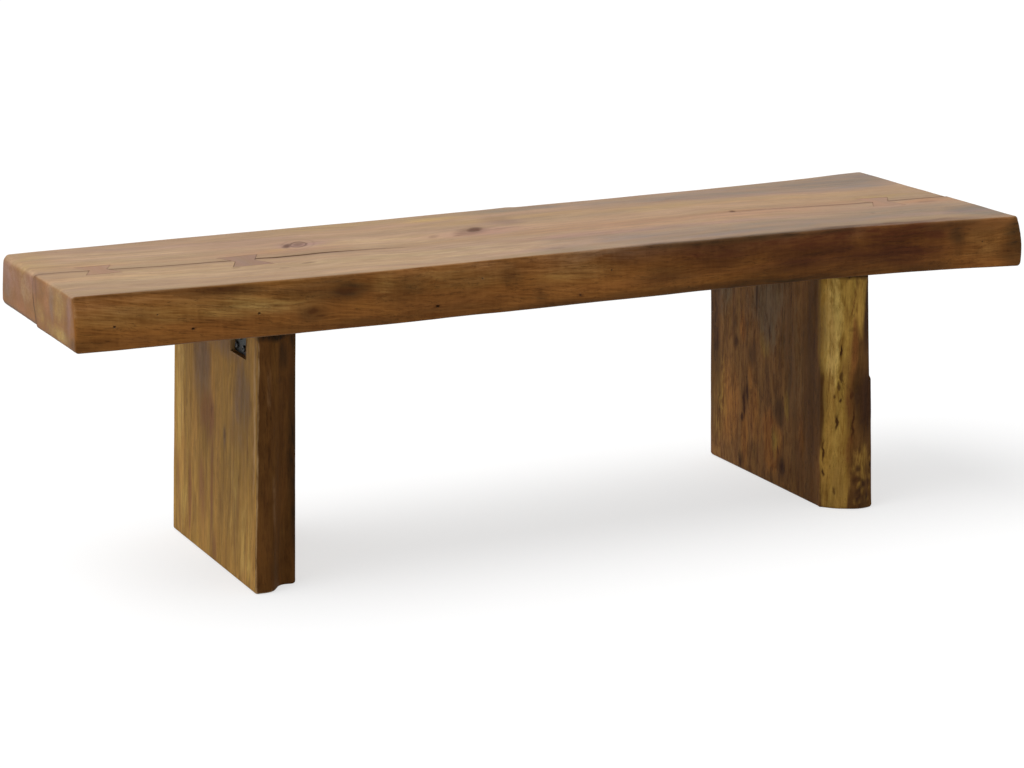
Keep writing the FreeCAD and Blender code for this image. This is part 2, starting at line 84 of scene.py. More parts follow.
# Middle lines of the splits on the sitting face, left end to right end, with
# sound wood between the two: x, y, half the gap and how deep it runs, in mm.
SPLIT_PATH = MM * np.array([
    (-762, -8, 0.7, 30), (-700, -12, 0.7, 30), (-645, -19, 0.9, 28), (-595, -25, 0.8, 26),
    (-537, -29, 0.8, 26), (-477, -32, 1.0, 26), (-439, -33, 1.3, 24), (-400, -38, 1.6, 24),
    (-330, -33, 1.5, 22), (-290, -36, 1.0, 18), (-237, -44, 0.7, 12), (-205, -48, 0.4, 0),
    (0, -26, 0.4, 0), (353, 0, 0.4, 0), (430, -7, 0.5, 6), (500, -17, 0.6, 12),
    (567, -25, 0.7, 16), (643, -28, 0.8, 22), (700, -30, 0.8, 24), (762, -33, 0.8, 24),
])
SPLIT_WANDER = 1.3 * MM
WANDER_LENGTH = 35 * MM
SPLIT_LIP = 1 * MM
SPLIT_FADE = 34 * MM

# A snag in the back edge, where a twig left the trunk: x of its tip, how far
# it stands out, and how long it takes to rise and to fall away.
BACK_SNAG = (70 * MM, 6 * MM, 80 * MM, 7 * MM)

# The split down the left sawn end: level, and how far it strays from the
# line above it, in mm.
END_CRACK = MM * np.array([(379, -1), (400, 7), (413, 14), (425, 16), (445, 13), (457, 4)])
END_CRACK_FADE = 60 * MM

# How deep the split is in the left sawn end, how far in from the end it fades
# and how much of that depth the right end has. At the underside of the left
# end it rises: by how much, and how far the rise reaches up and inwards.
END_SPLIT_DEPTH = 13 * MM
END_SPLIT_FADE = 20 * MM
RIGHT_SPLIT_SHARE = 0.6
FOOT_RISE = (9 * MM, 12 * MM, 30 * MM)


def cuts(length, step):
    """Places along a length: close together at both arrises, even in between."""
    inner = length - 2 * ARRIS_LINES[-1]
    even = ARRIS_LINES[-1] + np.linspace(0, inner, round(inner / step) + 1)
    return np.concatenate((ARRIS_LINES[:-1], even, length - ARRIS_LINES[-2::-1]))


def surface_of(mesh):
    """The surface of a mesh, ready to be probed."""
    return BVHTree.FromPolygons([v.co for v in mesh.vertices], [p.vertices for p in mesh.polygons])


def probe(surface, start, heading):
    """Where a straight line first meets a surface."""
    return surface.ray_cast(Vector(start), Vector(heading))[0]


def between(low, high, share):
    """The value a share of the way from low to high."""
    return low + (high - low) * share


def run_on(places, line, measured, count):
    """Runs a line on past its first and last measured points, straight on from so many of them."""
    starts = (measured[:count], slice(0, measured[0]))
    stops = (measured[-count:], slice(measured[-1] + 1, None))
    for near, beyond in (starts, stops):
        line[beyond] = np.polyval(np.polyfit(places[near], line[near], 1), places[beyond])
    return line


def field(places, feature_mm, seed, octaves=2):
    """Smooth random heights of about -1 to 1, with features of a size in mm along x, y and z."""
    scaled = places / (np.array(feature_mm) * MM) + seed * 17.3
    return np.array([noise.fractal(Vector(place), 1.0, 2.0, octaves) for place in scaled])


def skin(points):
    """The outer skin of a block of points: which of them it takes, and its faces."""
    number = np.full(points.shape[:3], -1)
    outside = np.zeros(points.shape[:3], bool)
    outside[[0, -1]] = outside[:, [0, -1]] = outside[:, :, [0, -1]] = True
    number[outside] = np.arange(outside.sum())
    sides = (
        number[0].T, number[-1], number[:, 0], number[:, -1].T, number[:, :, 0].T, number[:, :, -1],
    )
    faces = [np.stack((s[:-1, :-1], s[1:, :-1], s[1:, 1:], s[:-1, 1:]), -1).reshape(-1, 4) for s in sides]
    return outside, np.concatenate(faces)


def worn(points, radius):
    """A block of points with its arrises rounded, and the way out of the wood at each point."""
    inner = points.copy()
    for axis in range(3):
        for face, next_in in ((0, 1), (-1, -2)):
            wall = np.take(points, [face], axis)
            inward = np.take(points, [next_in], axis) - wall
            inward /= np.linalg.norm(inward, axis=-1, keepdims=True)
            depth = np.linalg.norm(points - wall, axis=-1, keepdims=True)
            inner += inward * np.maximum(radius - depth, 0)
    out = points - inner
    length = np.linalg.norm(out, axis=-1, keepdims=True)
    out = np.divide(out, length, out=np.zeros_like(out), where=length > 0)
    return inner + out * np.minimum(radius, length), out


def mesh_of(places, faces, name="tool"):
    mesh = bpy.data.meshes.new(name)
    mesh.from_pydata(np.asarray(places).tolist(), [], [list(map(int, face)) for face in faces])
    mesh.update()
    return mesh


def new_piece(name, places, faces):
    """A piece of the bench from its places and faces, at its place in the frame."""
    piece = bpy.data.objects.new(name, mesh_of(places, faces, name))
    bpy.context.scene.collection.objects.link(piece)
    return piece


seat_low, seat_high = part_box("seat_plank")
seat_surface = surface_of(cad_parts["seat_plank"].data)
seat_x = seat_low.x + cuts(seat_high.x - seat_low.x, SEAT_STEP[0])
seat_z = seat_low.z + cuts(seat_high.z - seat_low.z, SEAT_STEP[2])
seat_levels = (seat_low.z + PROBE_INSET, seat_high.z - PROBE_INSET)
seat_rise = (seat_z - seat_low.z) / (seat_high.z - seat_low.z)
seat_belly = 1 - (2 * seat_rise - 1) ** 2


def live_edge(side):
    """y of the seat's front (-1) or back (1) edge at every station and level."""
    measured = np.flatnonzero(np.abs(seat_x) < seat_high.x - PROBE_INSET)
    edges = []
    for z in seat_levels:
        edge = np.zeros_like(seat_x)
        edge[measured] = [probe(seat_surface, (x, side, z), (0, -side, 0)).y for x in seat_x[measured]]
        edge = run_on(seat_x, edge, measured, END_STATIONS)
        if side > 0:
            tip, stands, rise, fall = BACK_SNAG
            edge += stands * np.exp(-np.abs(seat_x - tip) / np.where(seat_x < tip, rise, fall))
        edges.append(edge)
    height = (seat_z - seat_levels[0]) / (seat_levels[1] - seat_levels[0])
    fading = np.clip((seat_high.x - seat_x) / BULGE_FADE, 0, 1) if side > 0 else np.ones_like(seat_x)
    bulge = side * LIVE_BULGE * fading[:, None] * seat_belly
    return between(edges[0][:, None], edges[1][:, None], height) + bulge


def sawn_end(side):
    """The four weights of x over a sawn end, which leans a little in y and in z."""
    spots = [(y, z) for y in END_PROBES for z in seat_levels]
    hits = [probe(seat_surface, (side, y, z), (-side, 0, 0)).x for y, z in spots]
    return np.linalg.solve([(1, y, z, y * z) for y, z in spots], hits)


def split_line(x):
    """y of the splits' middle line on the sitting face."""
    wander = np.array([noise.fractal(Vector((place / WANDER_LENGTH, 0, 4)), 1.0, 2.0, 3) for place in x])
    drawn = np.interp(x, SPLIT_PATH[:, 0], SPLIT_PATH[:, 1])
    smooth = np.convolve(np.pad(drawn, 3, "edge"), np.ones(7) / 7, "valid")
    return smooth + wander * SPLIT_WANDER


def end_crack(x, z):
    """How far the split strays sideways below the sitting face, which fades away from the left end."""
    return np.interp(z, END_CRACK[:, 0], END_CRACK[:, 1]) * np.exp((seat_low.x - x) / END_CRACK_FADE)


split_y = split_line(seat_x)


def seat_block():
    """The seat as a block of points, and the row of them that runs along the splits."""
    split = split_y[:, None] + end_crack(seat_x[:, None], seat_z)
    half_gap = np.interp(seat_x, SPLIT_PATH[:, 0], SPLIT_PATH[:, 2])[:, None]
    front, back = live_edge(-1), live_edge(1)
    front_in, back_in = front + ARRIS_LINES[-1], back - ARRIS_LINES[-1]
    front_count = round((split.mean() - front_in.mean()) / SEAT_STEP[1])
    back_count = round((back_in.mean() - split.mean()) / SEAT_STEP[1])
    rows = [front + line for line in ARRIS_LINES[:-1]]
    rows += [between(front_in, split - half_gap - SPLIT_LIP, t) for t in np.linspace(0, 1, front_count)]
    rows.append(split - half_gap)
    valley = len(rows)
    rows += [split, split + half_gap]
    rows += [between(split + half_gap + SPLIT_LIP, back_in, t) for t in np.linspace(0, 1, back_count)]
    rows += [back - line for line in ARRIS_LINES[-2::-1]]
    y = np.stack(rows, 1)
    z = np.broadcast_to(seat_z, y.shape)
    left, right = (w[0] + w[1] * y + w[2] * z + w[3] * y * z for w in (sawn_end(-1), sawn_end(1)))
    right = np.minimum(right + END_BULGE * seat_belly - END_TUCK * (1 - seat_rise) ** 2, seat_high.x)
    along = ((seat_x - seat_low.x) / (seat_high.x - seat_low.x))[:, None, None]
    return np.stack((between(left, right, along), y, z), -1), valley


def open_splits(block, valley):
    """Pushes the split's row of points down into the wood, and in from the sawn ends."""
    depth = np.interp(seat_x, SPLIT_PATH[:, 0], SPLIT_PATH[:, 3])[:, None]
    groove = block[:, valley]
    x, z = groove[..., 0].copy(), groove[..., 2].copy()
    rise, up, inwards = FOOT_RISE
    groove[..., 2] -= depth * np.exp((z - seat_high.z) / SPLIT_FADE)
    groove[..., 2] += rise * np.exp((seat_low.z - z) / up) * np.exp((seat_low.x - x) / inwards)
    groove[..., 0] += END_SPLIT_DEPTH * np.exp((seat_low.x - x) / END_SPLIT_FADE)
    right_depth = RIGHT_SPLIT_SHARE * END_SPLIT_DEPTH * (z / seat_high.z) ** 8
    groove[..., 0] -= right_depth * np.exp((x - seat_high.x) / END_SPLIT_FADE)


# Knots of the slab: x, y, z of the heart, then its reach along x, y, z, in mm.
SEAT_KNOTS = MM * np.array([
    (-346, 42, 457, 30, 14, 16),
    (-63, 31, 457, 26, 13, 16),
    (373, 0, 457, 11, 7, 8),
    (-413, -196, 409, 15, 14, 8),
    (530, 120, 379, 22, 14, 12),
    (-180, 190, 420, 18, 14, 10),
])


def knot_nearness(places):
    """1 at the heart of a knot of the slab and 0.37 at its rim, for the nearest knot."""
    near = np.zeros(len(places))
    for knot in SEAT_KNOTS:
        near = np.maximum(near, np.exp(-(((places - knot[:3]) / knot[3:]) ** 2).sum(1)))
    return near


def seat_relief(places, out):
    """How far each place of the seat stands off its true face: peeled edges, sanded faces."""
    live = out[:, 1] ** 2
    top, under = np.maximum(out[:, 2], 0), np.maximum(-out[:, 2], 0)
    furrow = field(places, (75, 12, 9), 2, 3)
    flat = field(places, (230, 60, 60), 3)
    height = live * (1.5 * field(places, (150, 45, 42), 1, 3) + 0.7 * furrow - 0.8)
    height += top * (0.3 * flat - 0.3) + under * 0.25 * (furrow - 1)
    height += np.abs(out[:, 0]) * 0.4 * field(places, (60, 60, 60), 4)
    return (height - 0.7 * knot_nearness(places)) * MM


block, valley = seat_block()
wavy = 1 + 0.25 * np.sin(seat_x * 9) + 0.15 * np.sin(seat_x * 31 + 1)
back_wear = BACK_WEAR + CORNER_WEAR * np.exp((np.abs(seat_x) - seat_high.x) / CORNER_REACH)
rounder = 1 + back_wear[:, None] * (np.arange(block.shape[1]) > valley)
block, out = worn(block, SEAT_ARRIS * (wavy[:, None] * rounder)[..., None, None])
open_splits(block, valley)
outside, faces = skin(block)
places = block[outside] + out[outside] * seat_relief(block[outside], out[outside])[:, None]
places = np.clip(places, cad_box[0], cad_box[1])
seat = new_piece("seat_plank_wood", places, faces)

# Worm and pin holes in the front edge: x, z and radius, in mm. Each is
# stretched a little along the edge and more into the wood.
PIN_HOLES = (
    (-701.6, 412.8, 1.7), (-591, 400.8, 1.8), (-494.7, 413.8, 1.7), (-223.5, 398.7, 2.1),
    (58.8, 425.9, 1.2), (5.5, 393.7, 1.3), (-640, 424, 1.0), (-151, 432, 1.0), (692, 421, 1.1),
)
PIN_STRETCH = np.array([1.4, 2.5, 1.0])

# The glue line round each key, and how far a mortise's tool runs out on top.
MORTISE_GAP = 0.3 * MM
MORTISE_RUN = 6 * MM


def grown(node):
    """A flush inlay's outline, a glue line larger, that runs out above the seat."""
    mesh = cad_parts[node].data
    low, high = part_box(node)
    middle = (low + high) / 2
    places = []
    for vertex in mesh.vertices:
        away = vertex.co - middle
        rise = MORTISE_RUN if away.z > 0 else 0
        sideways = [math.copysign(MORTISE_GAP, away.x), math.copysign(MORTISE_GAP, away.y)]
        places.append(vertex.co + Vector((*sideways, rise)))
    return mesh_of(places, [p.vertices for p in mesh.polygons])


def pit(middle, reach):
    """A small closed ball, stretched to a reach along x, y and z, to carve a hole."""
    rings, points = 8, 12
    tilts = np.linspace(0, np.pi, rings + 1)[1:-1]
    turns = np.linspace(0, 2 * np.pi, points, endpoint=False)
    places = [(0, 0, 1), (0, 0, -1)]
    for tilt in tilts:
        wide = math.sin(tilt)
        places += [(wide * math.cos(turn), wide * math.sin(turn), math.cos(tilt)) for turn in turns]
    faces = []
    last = 2 + (rings - 2) * points
    for k in range(points):
        after = (k + 1) % points
        faces.append((0, 2 + k, 2 + after))
        faces.append((1, last + after, last + k))
        for ring in range(rings - 2):
            upper, lower = 2 + ring * points, 2 + (ring + 1) * points
            faces.append((upper + k, lower + k, lower + after, upper + after))
    return mesh_of(np.array(middle) + np.array(places) * reach, faces)


def in_small_faces(mesh):
    """Splits the many-sided faces that carving leaves into triangles."""
    shape = bmesh.new()
    shape.from_mesh(mesh)
    bmesh.ops.triangulate(shape, faces=[face for face in shape.faces if len(face.verts) > 4])
    shape.to_mesh(mesh)
    shape.free()
    return mesh


def carve(piece, tools):
    """Cuts closed shapes out of a piece, all in one go."""
    places, faces = [], []
    for tool in tools:
        faces += [[len(places) + i for i in p.vertices] for p in tool.polygons]
        places += [tuple(v.co) for v in tool.vertices]
    cutter = bpy.data.objects.new("tools", mesh_of(places, faces))
    bpy.context.scene.collection.objects.link(cutter)
    cut = piece.modifiers.new("cut", "BOOLEAN")
    cut.operation = "DIFFERENCE"
    cut.solver = "EXACT"
    cut.object = cutter
    graph = bpy.context.evaluated_depsgraph_get()
    result = bpy.data.meshes.new_from_object(piece.evaluated_get(graph))
    piece.modifiers.clear()
    piece.data = in_small_faces(result)
    piece.data.materials.clear()
    bpy.data.objects.remove(cutter)


KEY_NODES = ("end_butterfly_key", "inner_butterfly_key", "right_butterfly_key")
seat_tools = [grown(node) for node in KEY_NODES]
peeled_surface = surface_of(seat.data)
for x, z, radius in PIN_HOLES:
    mouth = probe(peeled_surface, (x * MM, -1, z * MM), (0, 1, 0))
    seat_tools.append(pit(mouth, MM * radius * PIN_STRETCH))
carve(seat, seat_tools)

# How the slab is coloured under its oil. Each soft patch is a colour, its
# middle x, y, z and its reach along x, y, z in mm, and its strength. First
# come the sitting face's patches, then the left end's and the front edge's.
SEAT_PATCHES = (
    ("mauve", -560, 112, 457, 130, 28, 20, 0.3), ("mauve", -430, 90, 457, 110, 30, 20, 0.3),
    ("mauve", -340, 36, 457, 44, 30, 20, 0.8), ("mauve", -70, 20, 457, 80, 30, 20, 0.8),
    ("stain", 12, 84, 457, 22, 46, 20, 0.14), ("grey", 735, -150, 457, 70, 50, 12, 1.0),
    ("heart", -370, 5, 457, 100, 26, 20, 0.35), ("heart", -690, 20, 457, 60, 30, 20, 0.25),
    ("gold", -375, 14, 457, 30, 10, 12, 0.45), ("gold", -740, 90, 457, 30, 90, 20, 0.35),
    ("gold", -75, 137, 457, 66, 20, 20, 0.45), ("gold", -250, 150, 457, 110, 20, 20, 0.3),
    ("gold", 60, 95, 457, 140, 20, 20, 0.4), ("gold", 320, 82, 457, 190, 22, 20, 0.35),
    ("gold", 600, 62, 457, 150, 22, 20, 0.3), ("gold", 640, 12, 457, 70, 16, 20, 0.35),
    ("heart", -80, 5, 457, 70, 22, 20, 0.5), ("mauve", 6, 82, 457, 34, 40, 20, 0.35),
    ("red", 10, 84, 457, 40, 14, 14, 0.12), ("grey", 730, 195, 457, 80, 60, 12, 1.0),
    ("heart", 120, -18, 457, 230, 34, 25, 0.35), ("heart", 400, -22, 457, 220, 32, 25, 0.3),
    ("heart", 705, -52, 457, 55, 18, 20, 0.6), ("heart", 560, -5, 457, 90, 16, 20, 0.25),
    ("mauve", 100, -72, 457, 290, 16, 20, 0.55), ("mauve", 520, -72, 457, 160, 14, 20, 0.35),
    ("grey", 330, -135, 457, 420, 58, 25, 0.75), ("grey", -15, -150, 457, 75, 30, 20, 0.7),
    ("grey", 630, -118, 457, 150, 50, 25, 0.6), ("grey", 90, 160, 457, 110, 20, 20, 0.7),
    ("grey", 430, 150, 457, 260, 44, 22, 0.75), ("grey", 650, 155, 457, 130, 70, 30, 0.9),
    ("mauve", 560, 118, 457, 190, 34, 20, 0.3), ("pale", -210, -115, 457, 230, 58, 25, 0.6),
    ("pale", -610, -90, 457, 190, 70, 20, 0.45), ("pale", -130, -150, 457, 140, 30, 20, 0.3),
    ("pale", -620, 70, 457, 130, 50, 20, 0.4), ("pale", -200, 15, 457, 130, 40, 20, 0.5),
    ("mauve", -762, 118, 436, 22, 46, 26, 0.6), ("mauve", -762, 15, 441, 22, 34, 14, 0.5),
    ("grey", -762, 130, 408, 20, 24, 12, 0.35), ("heart", -762, 62, 392, 22, 60, 12, 0.4),
    ("heart", -762, -58, 425, 22, 11, 34, 0.4), ("grey", -762, -80, 430, 22, 9, 26, 0.6),
    ("gold", -762, -112, 432, 22, 30, 22, 0.6), ("gold", -762, -112, 393, 24, 48, 11, 0.9),
    ("gold", -762, -20, 405, 20, 26, 16, 0.4), ("mauve", -762, -160, 432, 24, 10, 30, 0.6),
    ("pale", -762, 40, 425, 20, 30, 20, 0.4), ("stain", -762, -150, 400, 24, 14, 30, 0.2),
    ("gold", -762, 90, 456, 40, 60, 7, 0.5), ("red", -762, -170, 385, 24, 16, 10, 0.3),
    # Along the front edge, the long thin stain bands close under the top arris (z 449 to 455) and along the
    # foot (z 383 to 390) are painted shade; its other dark patches are the wood's own.
    ("stain", -735, -178, 390, 130, 16, 9, 0.45), ("stain", -550, -187, 449, 70, 14, 8, 0.5),
    ("stain", -690, -182, 455, 130, 12, 4, 0.4), ("gold", -640, -186, 424, 130, 16, 16, 0.2),
    ("gold", -510, -190, 424, 80, 16, 16, 0.55), ("stain", -366, -195, 434, 44, 16, 13, 0.75),
    ("stain", -385, -195, 438, 66, 16, 24, 0.45), ("gold", -305, -194, 436, 16, 16, 20, 0.25),
    ("stain", -418, -195, 408, 28, 16, 15, 0.5), ("stain", -320, -194, 387, 150, 16, 8, 0.5),
    ("stain", -270, -193, 425, 34, 16, 22, 0.45), ("gold", -190, -192, 436, 100, 16, 14, 0.15),
    ("gold", 10, -192, 428, 60, 16, 22, 0.2), ("stain", -105, -192, 430, 20, 14, 20, 0.35),
    ("stain", -60, -192, 395, 14, 16, 26, 0.35), ("stain", -200, -192, 392, 90, 16, 10, 0.3),
    ("stain", -40, -192, 383, 160, 16, 7, 0.65), ("stain", 150, -192, 408, 60, 16, 20, 0.4),
    ("red", 130, -192, 446, 70, 16, 18, 0.45), ("red", 250, -193, 440, 150, 16, 26, 0.85),
    ("red", 420, -196, 430, 130, 18, 38, 1.0), ("red", 560, -206, 428, 130, 20, 50, 1.1),
    ("stain", 300, -193, 455, 260, 14, 6, 0.75), ("stain", 310, -193, 384, 270, 16, 9, 0.85),
    ("stain", 430, -198, 400, 240, 18, 40, 0.25), ("stain", 640, -219, 452, 60, 16, 9, 0.6),
    ("stain", 650, -217, 430, 14, 18, 30, 0.6), ("gold", 692, -225, 418, 30, 20, 24, 0.15),
    ("stain", 700, -225, 446, 60, 20, 14, 0.35), ("stain", 752, -235, 420, 30, 18, 60, 0.65),
    ("stain", 390, -196, 420, 70, 18, 9, 0.4), ("stain", 600, -210, 384, 160, 18, 8, 0.5),
    ("stain", 40, -192, 452, 70, 14, 8, 0.3), ("stain", -210, -193, 412, 120, 16, 30, 0.2),
)
WASHES = ("amber", "heart", "gold", "mauve", "grey", "pale", "red", "stain", "split")
PATCH_WANDER = 0.35


def painted(places, patches, feature_mm, seed):
    """How strongly each wash colours each place: soft patches with wandering rims."""
    wander = np.stack([field(places, feature_mm, seed + k) for k in range(3)], 1) * PATCH_WANDER
    washes = {name: np.zeros(len(places)) for name in WASHES}
    for name, *numbers in patches:
        middle, reach = MM * np.array(numbers[:3]), MM * np.array(numbers[3:6])
        gap = (((places - middle) / reach + wander) ** 2).sum(1)
        washes[name] = np.maximum(washes[name], numbers[6] * np.exp(-(gap ** 1.5)))
    return washes


def read_points(piece, what):
    """The place or the way out of the wood at each point of a piece."""
    numbers = np.zeros(3 * len(piece.data.vertices))
    if what == "co":
        piece.data.vertices.foreach_get("co", numbers)
    else:
        piece.data.vertex_normals.foreach_get("vector", numbers)
    return numbers.reshape(-1, 3)


def worn_arris(way_out):
    """1 in the middle of a rounded arris and 0 on the flat faces, from the way out of the wood."""
    square = way_out ** 2
    return 4 * (square[:, 0] * square[:, 1] + square[:, 1] * square[:, 2] + square[:, 0] * square[:, 2])


def grow_wood(piece, grain, rings, strength, live, washes):
    """Stores what the wood reads at each point: its grain in metres, its growth and its washes."""
    layers = {"grain": grain, "growth": np.stack((rings, strength, live), 1)}
    for first, name in ((0, "warm"), (3, "cool"), (6, "deep")):
        layers[name] = np.stack([washes[wash] for wash in WASHES[first:first + 3]], 1)
    for name, values in layers.items():
        layer = piece.data.attributes.new(name, "FLOAT_VECTOR", "POINT")
        layer.data.foreach_set("vector", np.asarray(values, np.float32).ravel())
    piece.data.shade_smooth()
    piece.data.set_sharp_from_angle(angle=math.radians(34))


def spread_round(lines, places, knots):
    """Spreads grain or growth rings apart so that they pass on both sides of each knot's heart."""
    for knot in knots:
        away = ((places - knot[:3]) ** 2).sum(1)
        gap = (places - knot[:3]) / (knot[3:] * 1.8)
        near = 0.85 * np.exp(-(gap ** 2).sum(1)).reshape(-1, *[1] * (lines.ndim - 1))
        lines = lines + (lines[away.argmin()] - lines) * near
    return lines


# Where the tree's pith runs through the slab, how far out from the middle the
# peeled edges and the sawn ends begin, and below what level the edges' lower
# arrises are painted dark as shade.
PITH_Z = 428 * MM
LIVE_FROM_MIDDLE = 120 * MM
SAWN_FROM_MIDDLE = 740 * MM
SHADED_FOOT_Z = 390 * MM

# How far the fibres swirl and the growth rings wander off their true course.
GRAIN_SWIRL = 6 * MM
RING_WANDER = 12 * MM

# The painted shade of a split, and its reddened wood: how wide the shade reads
# on the left end, how wide its rim and the reddened wood are on the sitting
# face, half its widest gap, how deep its walls are painted dark as shade, and
# down the end the levels at which it is so dark.
CRACK_REACH = 1.2 * MM
RIM_REACH = 2.8 * MM
RED_REACH = 6 * MM
WIDEST_HALF_GAP = 1.6 * MM
GROOVE_FROM_Z = 420 * MM
CRACK_DARK = (MM * np.array([379, 422, 430, 448, 457]), (1, 1, 0.25, 0.3, 0.8))


def split_washes(places, sideways, end_grain):
    """How much painted shade, and how much red, the splits give each place of the seat."""
    x, z = places[:, 0], places[:, 2]
    gap = np.interp(x, SPLIT_PATH[:, 0], SPLIT_PATH[:, 2]) / WIDEST_HALF_GAP
    on_top = gap ** 2 * np.clip((gap - 0.2) / 0.2, 0, 1) * (z > PITH_Z)
    # The rim, the end's crack line and the groove's walls are painted shade of the hollow crack; the red is
    # the wood's own.
    rim = 0.85 * on_top * np.exp(-((sideways / RIM_REACH) ** 2))
    off_crack = (sideways - end_crack(x, z)) / CRACK_REACH
    crack_shade = np.exp(-(off_crack ** 2)) * np.interp(z, *CRACK_DARK) * (x < seat_low.x + END_SPLIT_FADE)
    groove = (np.abs(sideways) < SPLIT_LIP) & (z > GROOVE_FROM_Z) & (z < seat_high.z - SPLIT_LIP)
    dark = np.maximum(np.maximum(rim, crack_shade), 0.95 * (groove & (end_grain == 0)))
    return dark, 0.5 * gap * np.exp(-((sideways / RED_REACH) ** 2))


places, way_out = read_points(seat, "co"), read_points(seat, "normal")
live = np.clip((way_out[:, 1] ** 2 - 0.16) / 0.3, 0, 1) * (np.abs(places[:, 1]) > LIVE_FROM_MIDDLE)
end_grain = np.clip((way_out[:, 0] ** 2 - 0.4) / 0.4, 0, 1)
sideways = places[:, 1] - np.interp(places[:, 0], seat_x, split_y)
lift = places[:, 2] - PITH_Z
slope = live * (0.04 * places[:, 0] - 0.06 * places[:, 0] ** 2)
swirl = GRAIN_SWIRL * field(places, (190, 70, 70), 30)
grain = np.stack((places[:, 0], sideways + swirl, lift + swirl + slope), 1)
grain[:, 1:] = spread_round(grain[:, 1:], places, SEAT_KNOTS)
rings = np.hypot(sideways, lift) + RING_WANDER * field(places, (420, 60, 60), 33)
rings = spread_round(rings, places, SEAT_KNOTS)
washes = painted(places, SEAT_PATCHES, (80, 30, 30), 40)
washes["amber"] = 1.3 * live + 0.8 * end_grain
rim = (np.abs(places[:, 1]) > LIVE_FROM_MIDDLE) | (np.abs(places[:, 0]) > SAWN_FROM_MIDDLE)
# The rounded arrises of the edges and ends are painted pale above, partly as wear and partly as a painted
# highlight, and painted dark as shade at the foot.
arris_wear_and_light = worn_arris(way_out) * rim * np.where(places[:, 1] < -LIVE_FROM_MIDDLE, 0.4, 1)
washes["pale"] = np.maximum(washes["pale"], 0.35 * arris_wear_and_light * (places[:, 2] > PITH_Z))
washes["stain"] = np.maximum(washes["stain"], 0.6 * arris_wear_and_light * (places[:, 2] < SHADED_FOOT_Z))
washes["grey"] = np.maximum(washes["grey"], 0.7 * np.clip(-way_out[:, 2], 0, 1) ** 4)
washes["split"], redness = split_washes(places, sideways, end_grain)
washes["red"] = np.maximum(washes["red"], redness)
grow_wood(seat, grain, rings, 0.5 + 0.6 * live - 0.15 * end_grain, live, washes)


def linear(colour):
    """An sRGB hex colour as Blender's linear numbers."""
    parts = [int(colour[k:k + 2], 16) / 255 for k in (1, 3, 5)]
    return (*[p / 12.92 if p <= 0.04045 else ((p + 0.055) / 1.055) ** 2.4 for p in parts], 1)


def add(tree, kind, feeds=None, **settings):
    """Adds a node with its settings. Each input it names takes a value or another node's output."""
    node = tree.nodes.new("ShaderNode" + kind)
    for name, value in settings.items():
        setattr(node, name, value)
    for name, value in (feeds or {}).items():
        if isinstance(value, bpy.types.NodeSocket):
            tree.links.new(value, node.inputs[name])
        else:
            node.inputs[name].default_value = value
    return node


def blank(kind, name):
    """A new material or world of a name, and its empty node tree."""
    finish = kind.new(name)
    finish.use_nodes = True
    finish.node_tree.nodes.clear()
    return finish, finish.node_tree


# Figure of the slab at its real sizes in mm along, across and through the
# grain: broad bands, mottled clouds, streaks, fibres and the marks of the
# drawknife that peeled the edges, each with its share in the tone. Fibres
# and pores are drawn about three times as coarse as real, so that they show.
# The bands also shift the hue, and the flaws' rims are ragged and wander.
SEAT_FIGURE = {
    "band": (500, 34, 36, 0.24), "cloud": (80, 20, 14, 0.18), "streak": (130, 8, 6, 0.24),
    "fibre": (48, 2.6, 2.2, 0.28), "knife": (8, 45, 45, 0.10),
}
PORE_SIZE = (20, 1.3, 1.3)
VEIN_SIZE = (260, 14, 11)
RING_SPACING = 15 * MM
FIGURE_CONTRAST = 6.0
DARK_FIGURE = (0.60, 0.52, 0.44)
LIGHT_FIGURE = (1.24, 1.27, 1.30)
HUE_PLAY = (0.22, 0.18, 0.46)
FLAW_WANDER = 7 * MM
RAG_SIZE = 13.333 * MM


def flaw_depth(tree, place, numbers, turn):
    """How dark a flaw makes each place: its heart, and rings round it that fade outwards."""
    x, y, z, reach_x, reach_y, reach_z, heart, ring = numbers
    spot = {
        "Vector": place, "Location": (x * MM, y * MM, z * MM), "Rotation": (0, 0, math.radians(turn)),
        "Scale": (reach_x * MM, reach_y * MM, reach_z * MM),
    }
    local = add(tree, "Mapping", spot, vector_type="TEXTURE").outputs[0]
    gap = add(tree, "VectorMath", {0: local}, operation="LENGTH").outputs["Value"]
    core = {"Value": gap, "From Min": 0.35, "From Max": 1.1, "To Min": heart, "To Max": 0.0}
    depth = add(tree, "MapRange", core, interpolation_type="SMOOTHSTEP").outputs[0]
    if ring:
        turns = add(tree, "Math", {0: gap, 1: 6.3}, operation="MULTIPLY").outputs[0]
        wave = add(tree, "Math", {0: turns}, operation="COSINE").outputs[0]
        fading = {"Value": gap, "From Min": 0.9, "From Max": 2.3, "To Min": ring, "To Max": 0.0}
        fading = add(tree, "MapRange", fading).outputs[0]
        rim = add(tree, "Math", {0: wave, 1: fading}, operation="MULTIPLY", use_clamp=True).outputs[0]
        depth = add(tree, "Math", {0: depth, 1: rim}, operation="MAXIMUM").outputs[0]
    return depth


def wood_figure(tree, grain, sizes, swirl):
    """The wood's patterns, each stretched along the grain to its size, and the play of its hues."""
    figure = {}
    for layer, size in sizes.items():
        per_metre = [1 / (MM * mm) for mm in size[:3]]
        place = add(tree, "VectorMath", {0: grain, 1: per_metre}, operation="MULTIPLY").outputs["Vector"]
        pattern = {"Vector": place, "Scale": 1.0, "Detail": 5.0, "Roughness": 0.62, "Distortion": swirl}
        pattern = add(tree, "TexNoise", pattern)
        figure[layer] = pattern.outputs["Fac"]
        if layer == "band":
            play = {0: pattern.outputs["Color"], 1: HUE_PLAY, 2: [1 - sway / 2 for sway in HUE_PLAY]}
            figure["hues"] = add(tree, "VectorMath", play, operation="MULTIPLY_ADD").outputs["Vector"]
    return figure


